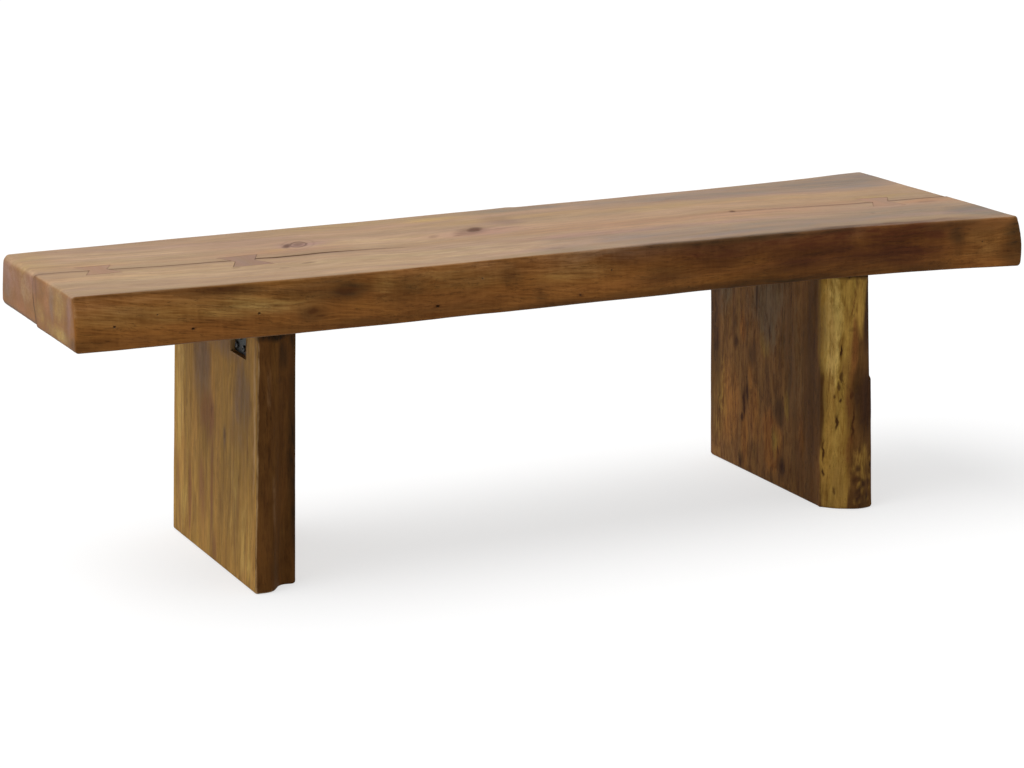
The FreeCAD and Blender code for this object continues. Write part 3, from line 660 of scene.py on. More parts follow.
def figure_tone(tree, figure, sizes, rings, strength, live):
    """How light the figure makes each place: knife marks on the live edges, fibres and rings all over."""
    tone = add(tree, "Math", {0: figure["knife"], 1: -0.5}).outputs[0]
    tone = add(tree, "Math", {0: tone, 1: live}, operation="MULTIPLY").outputs[0]
    tone = add(tree, "Math", {0: tone, 1: sizes["knife"][3]}, operation="MULTIPLY").outputs[0]
    for layer in ("band", "cloud", "streak", "fibre"):
        off = {0: add(tree, "Math", {0: figure[layer], 1: -0.5}).outputs[0], 1: sizes[layer][3], 2: tone}
        tone = add(tree, "Math", off, operation="MULTIPLY_ADD").outputs[0]
    turns = add(tree, "Math", {0: rings, 1: 2 * math.pi / RING_SPACING}, operation="MULTIPLY").outputs[0]
    uneven = add(tree, "Math", {0: figure["band"], 1: 9.0, 2: turns}, operation="MULTIPLY_ADD").outputs[0]
    lines = add(tree, "Math", {0: uneven}, operation="SINE").outputs[0]
    tone = add(tree, "Math", {0: lines, 1: 0.012, 2: tone}, operation="MULTIPLY_ADD").outputs[0]
    tone = add(tree, "Math", {0: tone, 1: strength}, operation="MULTIPLY").outputs[0]
    contrast = {0: tone, 1: FIGURE_CONTRAST, 2: 0.6}
    return add(tree, "Math", contrast, operation="MULTIPLY_ADD", use_clamp=True).outputs[0]


def open_grain(tree, figure, strength):
    """How deep the veins and the pores are at each place."""
    vein = add(tree, "Math", {0: figure["vein"], 1: -0.5}).outputs[0]
    vein = add(tree, "Math", {0: vein}, operation="ABSOLUTE").outputs[0]
    vein = {"Value": vein, "From Max": 0.012, "To Min": 0.36, "To Max": 0.0}
    vein = add(tree, "MapRange", vein, interpolation_type="SMOOTHSTEP").outputs[0]
    pore = {"Value": figure["pore"], "From Min": 0.58, "From Max": 0.72, "To Max": 0.3}
    dips = add(tree, "Math", {0: add(tree, "MapRange", pore).outputs[0], 1: vein}).outputs[0]
    return add(tree, "Math", {0: dips, 1: strength}, operation="MULTIPLY").outputs[0]


def washed(tree, figure, colours, layers, edge):
    """The base colour under its washes, most of them broken up by the figure as oil does."""
    colour = linear(colours["base"])
    breakup = add(tree, "Mix", {"Factor": 0.65, 2: figure["streak"], 3: figure["cloud"]}).outputs[0]
    breakup = add(tree, "Mix", {"Factor": 0.2, 2: breakup, 3: figure["fibre"]}).outputs[0]
    uneven = add(tree, "Math", {0: breakup, 1: 4.0, 2: -1.0}, operation="MULTIPLY_ADD").outputs[0]
    amounts = [out for layer in layers for out in add(tree, "SeparateXYZ", {0: layer}).outputs]
    for wash, amount in zip(WASHES, amounts):
        if wash not in colours:
            continue
        if wash not in ("amber", "split"):
            amount = add(tree, "Math", {0: amount, 1: uneven}, operation="MULTIPLY").outputs[0]
            amount = {"Value": amount, "From Min": edge[0], "From Max": edge[1]}
            amount = add(tree, "MapRange", amount).outputs[0]
        layer = {"Factor": amount, 6: colour, 7: linear(colours[wash])}
        colour = add(tree, "Mix", layer, data_type="RGBA").outputs[2]
    return colour


def flawed(tree, colour, flaws, flaw_colour):
    """The wood's colour with its flaws over it. Their rims wander, as those of real ones do."""
    here = add(tree, "TexCoord").outputs["Object"]
    wander = add(tree, "TexNoise", {"Vector": here, "Scale": 1 / RAG_SIZE, "Detail": 2.0}).outputs["Color"]
    wander = add(tree, "VectorMath", {0: wander, 1: (-0.5, -0.5, -0.5)}).outputs["Vector"]
    wander = add(tree, "VectorMath", {0: wander, "Scale": FLAW_WANDER}, operation="SCALE").outputs["Vector"]
    here = add(tree, "VectorMath", {0: here, 1: wander}).outputs["Vector"]
    depth = 0.0
    for *numbers, turn in flaws:
        deeper = {0: depth, 1: flaw_depth(tree, here, numbers, turn)}
        depth = add(tree, "Math", deeper, operation="MAXIMUM").outputs[0]
    layer = {"Factor": depth, 6: colour, 7: linear(flaw_colour)}
    return add(tree, "Mix", layer, data_type="RGBA").outputs[2]


def oiled_wood(name, colours, sizes, flaws=(), roughness=(0.46, 0.6), relief=0.6 * MM,
               swirl=0.3, edge=(0.0, 1.0)):
    """Open-grained hardwood, sanded, oiled and waxed: deep mottled colour under a low satin shine."""
    material, tree = blank(bpy.data.materials, name)
    grain, growth, *layers = (
        add(tree, "Attribute", attribute_name=layer).outputs["Vector"]
        for layer in ("grain", "growth", "warm", "cool", "deep")
    )
    rings, strength, live = add(tree, "SeparateXYZ", {0: growth}).outputs
    figure = wood_figure(tree, grain, dict(sizes, pore=PORE_SIZE, vein=VEIN_SIZE), swirl)
    tone = figure_tone(tree, figure, sizes, rings, strength, live)
    tint = {"Factor": tone, 4: DARK_FIGURE, 5: LIGHT_FIGURE}
    tint = add(tree, "Mix", tint, data_type="VECTOR").outputs[1]
    colour = washed(tree, figure, colours, layers, edge)
    for layer in (tint, figure["hues"]):
        colour = add(tree, "VectorMath", {0: colour, 1: layer}, operation="MULTIPLY").outputs["Vector"]
    dips = open_grain(tree, figure, strength)
    shade = add(tree, "Math", {0: 1.0, 1: dips}, operation="SUBTRACT").outputs[0]
    colour = add(tree, "VectorMath", {0: colour, "Scale": shade}, operation="SCALE").outputs["Vector"]
    if flaws:
        colour = flawed(tree, colour, flaws, colours["flaw"])
    height = {0: figure["streak"], 1: 0.7, 2: shade}
    height = add(tree, "Math", height, operation="MULTIPLY_ADD").outputs[0]
    swell = add(tree, "Math", {0: figure["cloud"], 1: live}, operation="MULTIPLY").outputs[0]
    height = add(tree, "Math", {0: swell, 1: 1.5, 2: height}, operation="MULTIPLY_ADD").outputs[0]
    bump = add(tree, "Bump", {"Strength": 0.4, "Distance": relief, "Height": height})
    shine = {"Value": figure["streak"], "From Min": 0.3, "From Max": 0.7}
    shine.update({"To Min": roughness[0], "To Max": roughness[1]})
    wood = {
        "Base Color": colour, "Roughness": add(tree, "MapRange", shine).outputs[0],
        "Normal": bump.outputs[0], "IOR": 1.46, "Specular IOR Level": 0.08,
    }
    surface = add(tree, "BsdfPrincipled", wood)
    add(tree, "OutputMaterial", {"Surface": surface.outputs[0]})
    return material


# Flaws that show crisply: x, y, z and reach along x, y, z in mm, how dark the
# heart and the rings round it are, and how far it is turned in degrees.
SEAT_FLAWS = (
    (-344, 42, 457, 12, 20, 10, 0.5, 0.7, -30), (-363, 38, 457, 8, 22, 8, 0.85, 0, -34),
    (-60, 34, 457, 16, 28, 10, 0.9, 0, -42), (-70, 24, 457, 26, 46, 10, 0.45, 0, -50),
    (-96, 4, 457, 18, 8, 8, 0.4, 0, 24), (-20, 26, 457, 50, 4, 8, 0.35, 0, 5),
    (-138, 10, 457, 8, 16, 8, 0.3, 0, -50), (373, 0, 457, 6, 9, 8, 0.85, 0.3, -15),
    (-380, -92, 457, 13, 6, 8, 0.45, 0, 4), (-487, -84, 457, 9, 5, 8, 0.4, 0, 10),
    (-425, -112, 457, 10, 5, 8, 0.3, 0, 0), (-10, -150, 457, 20, 8, 8, 0.25, 0, 0),
    (565, -108, 457, 6, 5, 8, 0.35, 0, 0), (700, -60, 457, 24, 10, 8, 0.25, 0, 0),
    (-415, -196, 410, 12, 16, 6, 0.7, 0.2, 0), (-404, -196, 402, 10, 16, 2.5, 0.6, 0, 0),
    (-362, -196, 434, 24, 16, 7, 0.55, 0, 0), (-104, -193, 431, 8, 16, 5, 0.35, 0, 0),
    (-60, -193, 404, 5, 16, 7, 0.4, 0, 0), (-224, -193, 398, 9, 16, 3.5, 0.55, 0, 0),
    (-591, -187, 401, 7, 16, 3, 0.5, 0, 0), (150, -193, 408, 26, 16, 10, 0.3, 0, 0),
    (-540, -189, 451, 34, 16, 4, 0.4, 0, 0), (7, -193, 393, 7, 16, 3, 0.45, 0, 0),
)
# The sitting face is a soft grey-brown with mauve and honey patches, the
# peeled edges a deeper amber, and the sawn ends lie between the two.
# Of these, 'split' is painted shade in and along the cracks, 'stain' is both the wood's own dark marks and
# painted shade on the front edge and lower arrises, and 'pale' is both pale wood and a painted highlight on
# the upper arrises.
SEAT_COLOURS = {
    "base": "#A7886A", "amber": "#8F5C2A", "heart": "#AC7A56", "gold": "#AE8F55", "mauve": "#9E7B6E",
    "grey": "#847365", "pale": "#BB9D7A", "red": "#552D17", "stain": "#3D2A17", "split": "#4A2913",
    "flaw": "#4F2A10",
}
seat.data.materials.append(oiled_wood("oiled_slab_hardwood", SEAT_COLOURS, SEAT_FIGURE, SEAT_FLAWS))
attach(seat, "root")
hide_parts("seat_plank")

# Butterfly keys: three bow-tie blocks of a darker, plainer hardwood, their
# grain across the splits that they hold shut. Each was sawn to its outline,
# glued into its mortise and planed flush with the seat.
KEY_CHAMFER = 0.8 * MM
KEY_SINK = 0.25 * MM
KEY_SHADES = {"end_butterfly_key": 0.0, "inner_butterfly_key": 0.35, "right_butterfly_key": 0.0}
# A planed and oiled face: an even, rosy brown that stands out by its cross
# grain and by the dark glue line round it. The inner key is greyer.
KEY_COLOURS = {"base": "#A07D65", "grey": "#7D6656", "split": "#33200F"}
key_wood = oiled_wood("planed_key_hardwood", KEY_COLOURS, SEAT_FIGURE)


def bow_tie(node):
    """The six corners of a key seen from above, in order round its middle."""
    low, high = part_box(node)
    middle = (low + high) / 2
    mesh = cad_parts[node].data
    corners = {(round(v.co.x, 5), round(v.co.y, 5)) for v in mesh.vertices if v.co.z > middle.z}
    return sorted(corners, key=lambda c: math.atan2(c[1] - middle.y, c[0] - middle.x)), middle


for node in KEY_NODES:
    low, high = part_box(node)
    corners, middle = bow_tie(node)
    ring = np.array(corners)
    inset = ring + np.sign(np.array(middle)[:2] - ring) * KEY_CHAMFER
    layers = ((ring, low.z), (ring, high.z - KEY_SINK - KEY_CHAMFER), (inset, high.z - KEY_SINK))
    places = [(x, y, z) for outline, z in layers for x, y in outline]
    count = len(ring)
    faces = [
        [k + a * count, (k + 1) % count + a * count, (k + 1) % count + (a + 1) * count, k + (a + 1) * count]
        for a in (0, 1) for k in range(count)
    ]
    faces += [list(range(count))[::-1], [2 * count + k for k in range(count)]]
    key = new_piece(node + "_wood", places, faces)
    places = read_points(key, "co")
    plain = {name: np.zeros(len(places)) for name in WASHES}
    plain["grey"] += KEY_SHADES[node]
    plain["split"] += 0.8 * (places[:, 2] < high.z - KEY_SINK - 0.1 * KEY_CHAMFER)
    along = places[:, 1] + 0.7 * middle.x
    across = np.stack((along, places[:, 0], places[:, 2]), 1)
    grow_wood(key, across, places[:, 0], np.full(len(places), 0.2), np.zeros(len(places)), plain)
    key.data.materials.append(key_wood)
    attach(key, "root")
    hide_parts(node)

# Legs: two short slabs of the same tree stood on end, their grain upright.
# The broad faces are sawn and sanded; the narrow ones are live edges. Two
# pockets in each outer face take the angle brackets, two sockets the dowels.
LEG_STEP = (4 * MM, 3.3 * MM, 3.3 * MM)
LEG_ARRIS = {"left": 5 * MM, "right": 6 * MM}
LEG_LEVELS = MM * np.array([22, 318])
LEG_EDGE_INSET = 7 * MM
TRUE_FOOT = 10 * MM
SOCKET_GAP = 0.3 * MM

# A bracket's pocket: the room round it, the room at its outer side, and how
# far its tool stands out of the leg's face and above its top.
POCKET_GAP = 0.4 * MM
POCKET_SLACK = 14 * MM
POCKET_OUT = 50 * MM
POCKET_UP = 10 * MM

# The small step in the right leg's outer front corner: its level, how deep and
# how sharp it is, and where it begins and how it runs out across the leg.
LEDGE_LEVEL = 213 * MM
LEDGE_DEPTH = 3 * MM
LEDGE_SHARP = 0.8 * MM
LEDGE_FROM = -130 * MM
LEDGE_RUN = 30 * MM


def leg_block(node, arris):
    """A leg as a block of points, and the way out of the wood at each."""
    low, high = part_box(node)
    surface = surface_of(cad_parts[node].data)
    z = low.z + cuts(high.z - low.z, LEG_STEP[2])
    rise = (z - LEG_LEVELS[0]) / (LEG_LEVELS[1] - LEG_LEVELS[0])
    broad = []
    for start, heading in ((low.x - 1, 1), (high.x + 1, -1)):
        hits = [probe(surface, (start, 0, level), (heading, 0, 0)).x for level in LEG_LEVELS]
        broad.append(between(*hits, rise))
    thickness = (broad[1] - broad[0]).mean()
    lines = cuts(thickness, LEG_STEP[0])
    inside = np.flatnonzero((lines > LEG_EDGE_INSET) & (thickness - lines > LEG_EDGE_INSET))
    x = between(broad[0], broad[1], lines[:, None] / thickness)
    edges = []
    for side in (-1, 1):
        measured = []
        for level in LEG_LEVELS:
            here = [np.interp(level, z, row) for row in x]
            hits = [probe(surface, (here[k], side, level), (0, -side, 0)).y for k in inside]
            edge = run_on(lines, np.interp(lines, lines[inside], hits), inside, 3)
            measured.append(edge[:, None])
        edges.append(between(*measured, rise))
    width = (edges[1] - edges[0]).mean()
    across = cuts(width, LEG_STEP[1])[:, None] / width
    y = between(edges[0][:, None], edges[1][:, None], across)
    x = np.broadcast_to(x[:, None], y.shape)
    return worn(np.stack((x, y, np.broadcast_to(z, y.shape)), -1), arris)


def box_tool(low, high):
    """A box between two corners, to carve a pocket."""
    corners = [(x, y, z) for x in (low[0], high[0]) for y in (low[1], high[1]) for z in (low[2], high[2])]
    faces = [(0, 1, 3, 2), (4, 6, 7, 5), (0, 4, 5, 1), (2, 3, 7, 6), (0, 2, 6, 4), (1, 5, 7, 3)]
    return mesh_of(corners, faces)


def peg_tool(node, gap):
    """A round upright hole, a little larger than the peg that it takes."""
    low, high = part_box(node)
    middle, radius = (low + high) / 2, (high.x - low.x) / 2 + gap
    turns = np.linspace(0, 2 * np.pi, 24, endpoint=False)
    ring = [(middle.x + radius * math.cos(a), middle.y + radius * math.sin(a)) for a in turns]
    places = [(x, y, z) for z in (low.z - gap, high.z + gap) for x, y in ring]
    count = len(turns)
    faces = [(k, (k + 1) % count, count + (k + 1) % count, count + k) for k in range(count)]
    faces += [tuple(range(count))[::-1], tuple(range(count, 2 * count))]
    return mesh_of(places, faces)


# The way out of each kind of face and the way across it, and how far a check
# strays from its straight line.
FACE_WAYS = {
    "broad": (Vector((-1, 0, 0)), Vector((0, 1, 0))),
    "live": (Vector((0, -1, 0)), Vector((1, 0, 0))),
}
CHECK_STRAY = 3 * MM


def check_tool(face, middle, half, deep, tall):
    """A thin wandering blade that cuts a drying check, open to the outside and sharp at its root."""
    outward, sideways = FACE_WAYS[face]
    places = []
    for level in np.linspace(-1, 1, 13):
        stray = noise.noise(Vector((middle[2] * 50, level * 2.2, 7))) * CHECK_STRAY
        spine = Vector(middle) + Vector((0, 0, level * tall)) + sideways * stray
        mouth = spine + outward * deep
        across = sideways * (half * (1.02 - level ** 2) ** 0.5)
        places += [mouth + across, mouth - across, spine - outward * deep]
    last = len(places) - 3
    faces = [(0, 1, 2), (last + 2, last + 1, last)]
    for k in range(0, last, 3):
        faces += [(k + a, k + 3 + a, k + 3 + (a + 1) % 3, k + (a + 1) % 3) for a in range(3)]
    return mesh_of(places, faces)


def leg_relief(places, out):
    """How far each place of a leg stands off its true face."""
    live = out[:, 1] ** 2
    swell = field(places, (42, 40, 120), 11, 3)
    furrow = field(places, (9, 12, 70), 12, 3)
    broad = np.abs(out[:, 0]) * (0.3 * field(places, (60, 60, 200), 13) + 0.12 * furrow)
    held = np.clip(places[:, 2] / TRUE_FOOT, 0, 1) * (1 - np.abs(out[:, 2]))
    return held * (live * (1.6 * swell + 0.9 * furrow - 0.6) + broad) * MM


def ledge(places, out):
    """How far the right leg's outer front corner is set back above the small step in it."""
    above = 1 / (1 + np.exp((LEDGE_LEVEL - places[:, 2]) / LEDGE_SHARP))
    corner = np.clip(1.4 * out[:, 0], 0, 1) * np.clip((LEDGE_FROM - places[:, 1]) / LEDGE_RUN, 0, 1)
    return LEDGE_DEPTH * above * corner


# Drying checks in the legs: middle x, y, z, then half the width, the depth
# and half the length, in mm. A check in a broad face runs back in x, and one
# in a live edge runs back in y.
LEG_CHECKS = {
    "left": (),
    "right": (
        ("broad", 452, 83, 112, 1.0, 4, 30), ("broad", 450, 5, 250, 0.7, 3, 15),
        ("live", 470.8, -177, 256, 0.7, 5, 14), ("live", 468.6, -174, 142, 0.9, 5, 14),
        ("live", 456, -158, 88, 0.8, 5, 30), ("live", 491, -188, 140, 0.6, 4, 30),
        ("live", 472, -178, 212, 0.6, 4, 10),
    ),
}
# The legs' soft patches, laid out as the seat's are. They lie on the broad
# face that shows and on the front live edge.
LEG_PATCHES = {
    "left": (
        ("grey", -494, 50, 290, 40, 46, 80, 0.9), ("grey", -494, -60, 345, 40, 90, 30, 0.7),
        ("red", -496, 25, 215, 40, 40, 44, 0.8), ("grey", -496, -120, 280, 40, 40, 56, 0.7),
        ("red", -499, 48, 100, 40, 20, 70, 0.6), ("red", -500, 4, 115, 40, 8, 100, 0.9),
        ("red", -500, 102, 75, 40, 9, 70, 0.8), ("red", -503, -8, 20, 40, 12, 34, 0.7),
        ("red", -500, -108, 110, 40, 10, 60, 0.5), ("grey", -495, -100, 220, 40, 50, 40, 0.4),
        ("grey", -497, -48, 200, 40, 8, 26, 0.7), ("red", -503, -60, 30, 40, 8, 40, 0.4),
        ("gold", -500, -90, 130, 40, 28, 110, 0.5), ("gold", -498, 150, 250, 40, 22, 130, 0.9),
        ("gold", -500, 128, 60, 40, 16, 60, 0.5), ("gold", -503, -140, 60, 40, 34, 70, 0.7),
        # The pale patch at the end of the next line is a painted highlight along the outer front arris.
        ("red", -502, 155, 95, 40, 5, 40, 0.6), ("pale", -500, -172, 270, 12, 6, 110, 0.8),
        # The next two stain patches are painted shade: down the front face's inner edge, where it turns
        # away from the light, and in a strip under the seat.
        ("stain", -434, -165, 200, 12, 26, 260, 0.6), ("stain", -465, -180, 374, 60, 22, 8, 0.7),
        ("grey", -478, -180, 300, 6, 20, 60, 0.3), ("grey", -474, -180, 130, 5, 20, 70, 0.45),
        ("stain", -452, -180, 340, 14, 20, 34, 0.5), ("stain", -462, -180, 90, 5, 20, 60, 0.4),
        # The second stain patch next, near black and at strength 3, is painted shade on the walls of the
        # front bracket's pocket.
        ("stain", -470, -180, 30, 40, 22, 26, 0.3), ("stain", -484, -96, 364, 10, 40, 19, 3.0),
    ),
    "right": (
        ("grey", 449, 10, 300, 20, 62, 75, 0.9), ("grey", 449, 150, 315, 20, 36, 60, 0.7),
        ("grey", 450, -70, 230, 20, 40, 120, 0.35), ("stain", 450, -126, 190, 24, 38, 300, 0.55),
        ("stain", 450, -60, 230, 20, 30, 110, 0.4), ("stain", 449, 184, 250, 20, 26, 180, 0.7),
        ("stain", 449, 192, 200, 20, 12, 260, 0.5),
        ("stain", 450, -95, 60, 24, 40, 70, 0.4), ("stain", 450, -60, 340, 20, 60, 26, 0.35),
        ("stain", 451, -28, 132, 20, 16, 28, 0.65), ("stain", 452, -37, 38, 20, 17, 26, 0.6),
        ("stain", 450, 58, 205, 20, 20, 30, 0.5), ("stain", 450, 112, 214, 20, 10, 16, 0.5),
        ("stain", 451, 80, 125, 20, 9, 36, 0.35), ("stain", 453, 97, 15, 20, 7, 20, 0.6),
        ("stain", 449, 45, 310, 20, 5, 50, 0.6), ("stain", 450, -75, 130, 20, 16, 60, 0.4),
        ("heart", 451, 84, 58, 20, 14, 52, 0.9), ("gold", 453, -14, 76, 20, 16, 34, 0.6),
        ("heart", 453, -4, 72, 20, 26, 46, 1.8), ("gold", 450, 170, 120, 20, 30, 120, 0.4),
        ("heart", 452, 50, 100, 20, 26, 50, 0.7), ("heart", 450, 10, 268, 20, 18, 26, 0.9),
        ("heart", 450, 90, 240, 20, 10, 26, 0.9), ("heart", 451, -95, 100, 20, 10, 54, 0.8),
        ("heart", 452, 140, 110, 20, 40, 90, 0.6), ("heart", 451, 65, 165, 20, 10, 34, 0.6),
        ("gold", 451, -50, 146, 14, 11, 26, 0.6), ("gold", 450, 20, 235, 14, 16, 30, 0.5),
        ("gold", 466, -174, 190, 18, 18, 420, 6.0), ("gold", 454, -160, 300, 14, 17, 70, 3.0),
        # The pale patch next is a painted highlight on the rounded live edge.
        ("pale", 460, -166, 300, 14, 18, 110, 1.0), ("red", 487, -186, 95, 6, 14, 70, 0.7),
        ("gold", 498, -188, 335, 14, 20, 54, 0.9), ("gold", 507, -190, 78, 20, 24, 32, 0.6),
        ("heart", 484, -184, 265, 12, 14, 62, 1.1), ("heart", 476, -179, 90, 14, 16, 90, 0.7),
        ("stain", 510, -190, 182, 20, 26, 66, 1.0), ("stain", 512, -190, 320, 9, 26, 66, 0.9),
        ("red", 472, -176, 52, 22, 20, 46, 0.3), ("heart", 486, -184, 330, 12, 20, 30, 0.8),
        ("red", 485, -185, 170, 8, 16, 120, 0.7), ("red", 478, -181, 232, 10, 14, 18, 0.5),
        ("red", 490, -187, 268, 8, 16, 50, 0.7),
        ("stain", 508, -190, 20, 22, 26, 22, 0.45), ("stain", 497, -189, 215, 9, 20, 24, 0.6),
        # The stain patch next is painted shade, a strip under the seat at the top of the live edge.
        ("stain", 480, -180, 380, 60, 40, 9, 0.9), ("heart", 470, -178, 150, 8, 14, 24, 0.6),
    ),
}

# Dark and pale specks low on the right leg's live edge, where bark clung on:
# how many of each, then the span of x and of z they fill.
SPECKS = 18
SPECK_SPAN = ((493, 524), (6, 108))
draw = np.random.default_rng(8)
for wash, share in (("stain", 0.8), ("gold", 0.55)):
    spots = zip(draw.uniform(*SPECK_SPAN[0], SPECKS), draw.uniform(*SPECK_SPAN[1], SPECKS))
    LEG_PATCHES["right"] += tuple((wash, x, -190, z, 3, 14, 7, share) for x, z in spots)

# Flaws of the legs that show crisply, laid out as the seat's are: knots,
# checks, bark pockets and bruises.
LEG_FLAWS = {
    "left": (
        (-495, 118, 215, 30, 4, 9, 0.35, 0, 0), (-495, 8, 228, 30, 3, 16, 0.3, 0, 0),
        (-495, 95, 175, 30, 3, 12, 0.25, 0, 0), (-497, -48, 205, 30, 5, 12, 0.35, 0, 0),
        (-495, 60, 285, 30, 5, 18, 0.25, 0, 0), (-497, -110, 150, 30, 3, 12, 0.25, 0, 0),
        (-458, -178, 310, 8, 20, 5, 0.35, 0.3, 0), (-452, -178, 212, 5, 20, 10, 0.4, 0, 0),
        (-446, -178, 168, 4, 20, 3, 0.5, 0, 0), (-500, 90, 120, 30, 3, 20, 0.3, 0, 0),
    ),
    "right": (
        (451, 85, 114, 12, 5.5, 38, 0.95, 0, 0), (452, 75, 138, 12, 4.5, 20, 0.85, 0, 0),
        (453, 91, 91, 12, 6, 11, 0.9, 0, 0), (450, 4, 252, 12, 3.4, 16, 0.75, 0, 0),
        (450, 12, 276, 12, 2.2, 10, 0.5, 0, 0), (449, 46, 302, 12, 2.6, 30, 0.6, 0, 0),
        (450, 110, 215, 12, 8, 9, 0.55, 0, 0), (450, 90, 232, 12, 2.2, 14, 0.6, 0, 0),
        (452, -37, 38, 12, 8, 12, 0.9, 0.45, 0), (452, -24, 62, 12, 3, 10, 0.6, 0, 0),
        (453, 97, 14, 12, 4, 12, 0.8, 0, 0), (451, -92, 104, 12, 2.2, 18, 0.5, 0, 0),
        (471, -177, 258, 1.8, 14, 13, 0.9, 0, 0), (472.5, -178, 216, 2.6, 14, 12, 0.8, 0, 0),
        (469.5, -176, 200, 2.4, 14, 12, 0.75, 0, 0), (473, -178, 178, 2, 14, 6, 0.9, 0, 0),
        (468.5, -174, 142, 2.4, 14, 15, 0.9, 0, 0), (464.5, -171, 184, 2.4, 14, 4, 0.7, 0, 0),
        (455.5, -159, 92, 1.9, 14, 24, 0.9, 0, 0), (456, -159, 58, 2.6, 14, 8, 0.85, 0, 0),
        (485, -184, 292, 7, 14, 5, 0.35, 0, 0), (488, -186, 187, 3.4, 14, 10, 0.6, 0, 0),
        (491, -188, 140, 2, 14, 36, 0.8, 0, 0), (469, -175, 30, 2.6, 14, 9, 0.7, 0, 0),
        (498, -190, 49, 12, 14, 6, 0.35, 0, 0),
    ),
}
LEG_FIGURE = {
    "left": {
        "band": (260, 26, 36, 0.24), "cloud": (44, 12, 16, 0.24), "streak": (120, 8, 10, 0.30),
        "fibre": (26, 2.8, 2.8, 0.20), "knife": (10, 30, 30, 0.05),
    },
    "right": {
        "band": (200, 28, 28, 0.22), "cloud": (36, 14, 14, 0.32), "streak": (80, 6, 6, 0.28),
        "fibre": (24, 2.8, 2.8, 0.20), "knife": (9, 30, 30, 0.08),
    },
}

# The left leg is an even golden brown with soft streaks. The right one is
# darker and redder, with lively figure and a pale straw live edge. Both had
# less wax than the seat, so they shine less.
# Their 'pale' is partly a painted highlight on the front arris or live edge, and their 'stain' is partly
# painted shade under the seat, down the left leg's inner edge and in its bracket pocket.
LEG_COLOURS = {
    "left": {
        "base": "#AE8443", "amber": "#623F1B", "gold": "#B8944F", "grey": "#8B6C4E", "pale": "#B89668",
        "red": "#8F633A", "stain": "#20160D", "flaw": "#3F2812",
    },
    "right": {
        "base": "#8B6339", "amber": "#6B4A26", "heart": "#A46E39", "gold": "#AE8841", "grey": "#7A634A",
        "pale": "#D2AF62", "red": "#6E4522", "stain": "#462D1B", "flaw": "#3E1E0D",
    },
}

# How strongly each leg's figure shows, how much calmer it is on the live edges,
# where less than 0 is livelier, and on faces turned to the bench's right end.
FIGURE_STRENGTH = {"left": 0.9, "right": 1.4}
LIVE_CALM = {"left": -0.15, "right": 0.3}
RIGHTWARD_CALM = 0.45
LEG_SWIRL = {"left": 0.4, "right": 0.9}

# How far beyond its right face, and off its middle, each leg's pith lies, how
# far its rings wander, and how far in the left leg's outer arris is painted pale,
# partly as wear and partly as a painted highlight.
LEG_PITH = (50 * MM, 20 * MM)
LEG_RING_WANDER = 15 * MM
PALE_ARRIS_TO = -478 * MM


def leg_tools(side):
    """What is cut out of a leg: its dowel sockets, its bracket pockets and its drying checks."""
    tools = [peg_tool(f"{side}_{place}_dowel", SOCKET_GAP) for place in ("front", "back")]
    for place in ("front", "back"):
        low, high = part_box(f"{side}_{place}_bracket")
        slack = (POCKET_SLACK, POCKET_GAP) if place == "front" else (POCKET_GAP, POCKET_SLACK)
        reach = (high.x - POCKET_OUT, high.x) if side == "left" else (low.x, low.x + POCKET_OUT)
        bottom = (reach[0], low.y - slack[0], low.z - POCKET_GAP)
        tools.append(box_tool(bottom, (reach[1], high.y + slack[1], high.z + POCKET_UP)))
    for face, x, y, z, half, deep, tall in LEG_CHECKS[side]:
        tools.append(check_tool(face, (x * MM, y * MM, z * MM), half * MM, deep * MM, tall * MM))
    return tools


def grow_leg(leg, side):
    """Stores the upright grain, the growth and the washes of a leg."""
    places, way_out = read_points(leg, "co"), read_points(leg, "normal")
    right_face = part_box(f"{side}_leg")[1].x
    live = np.clip((way_out[:, 1] ** 2 - 0.08) / 0.25, 0, 1) * (np.abs(places[:, 1]) > LIVE_FROM_MIDDLE)
    swirl = GRAIN_SWIRL * field(places, (60, 60, 170), 50)
    grain = np.stack((places[:, 2] + 2 * right_face, places[:, 1] + swirl, places[:, 0] + swirl), 1)
    rings = np.hypot(places[:, 1] - LEG_PITH[1], places[:, 0] - right_face - LEG_PITH[0])
    rings += LEG_RING_WANDER * field(places, (60, 60, 400), 53)
    washes = painted(places, LEG_PATCHES[side], (30, 30, 80), 60)
    washes["amber"] = np.maximum(washes["amber"], 1.3 * live)
    # The left leg's outer front arris is painted pale, partly as wear and partly as a painted highlight.
    arris_wear_and_light = worn_arris(way_out) * (places[:, 1] < 0) * (places[:, 0] < PALE_ARRIS_TO)
    washes["pale"] = np.maximum(washes["pale"], 0.5 * arris_wear_and_light)
    calm = 1 - LIVE_CALM[side] * live - RIGHTWARD_CALM * np.clip(way_out[:, 0], 0, 1)
    grow_wood(leg, grain, rings, FIGURE_STRENGTH[side] * calm, live, washes)


for side in ("left", "right"):
    block, out = leg_block(f"{side}_leg", LEG_ARRIS[side])
    outside, faces = skin(block)
    places = block[outside] + out[outside] * leg_relief(block[outside], out[outside])[:, None]
    if side == "right":
        places[:, 0] -= ledge(places, out[outside])
    leg = new_piece(f"{side}_leg_wood", places, faces)
    carve(leg, leg_tools(side))
    grow_leg(leg, side)
    finish = oiled_wood(
        f"oiled_{side}_leg_hardwood", LEG_COLOURS[side], LEG_FIGURE[side], LEG_FLAWS[side],
        roughness=(0.56, 0.7), relief=0.9 * MM, swirl=LEG_SWIRL[side], edge=(0.2, 0.8),
    )
    leg.data.materials.append(finish)
    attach(leg, "root")
    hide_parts(f"{side}_leg")

# Dowels: two round hardwood pegs in the top of each leg, which keep it from
# turning under the seat. They were cut from machine-made dowel rod.
# Size of its fibres in mm across and along the peg, drawn coarser than real.
DOWEL_FIBRE = (1.4, 1.4, 40)
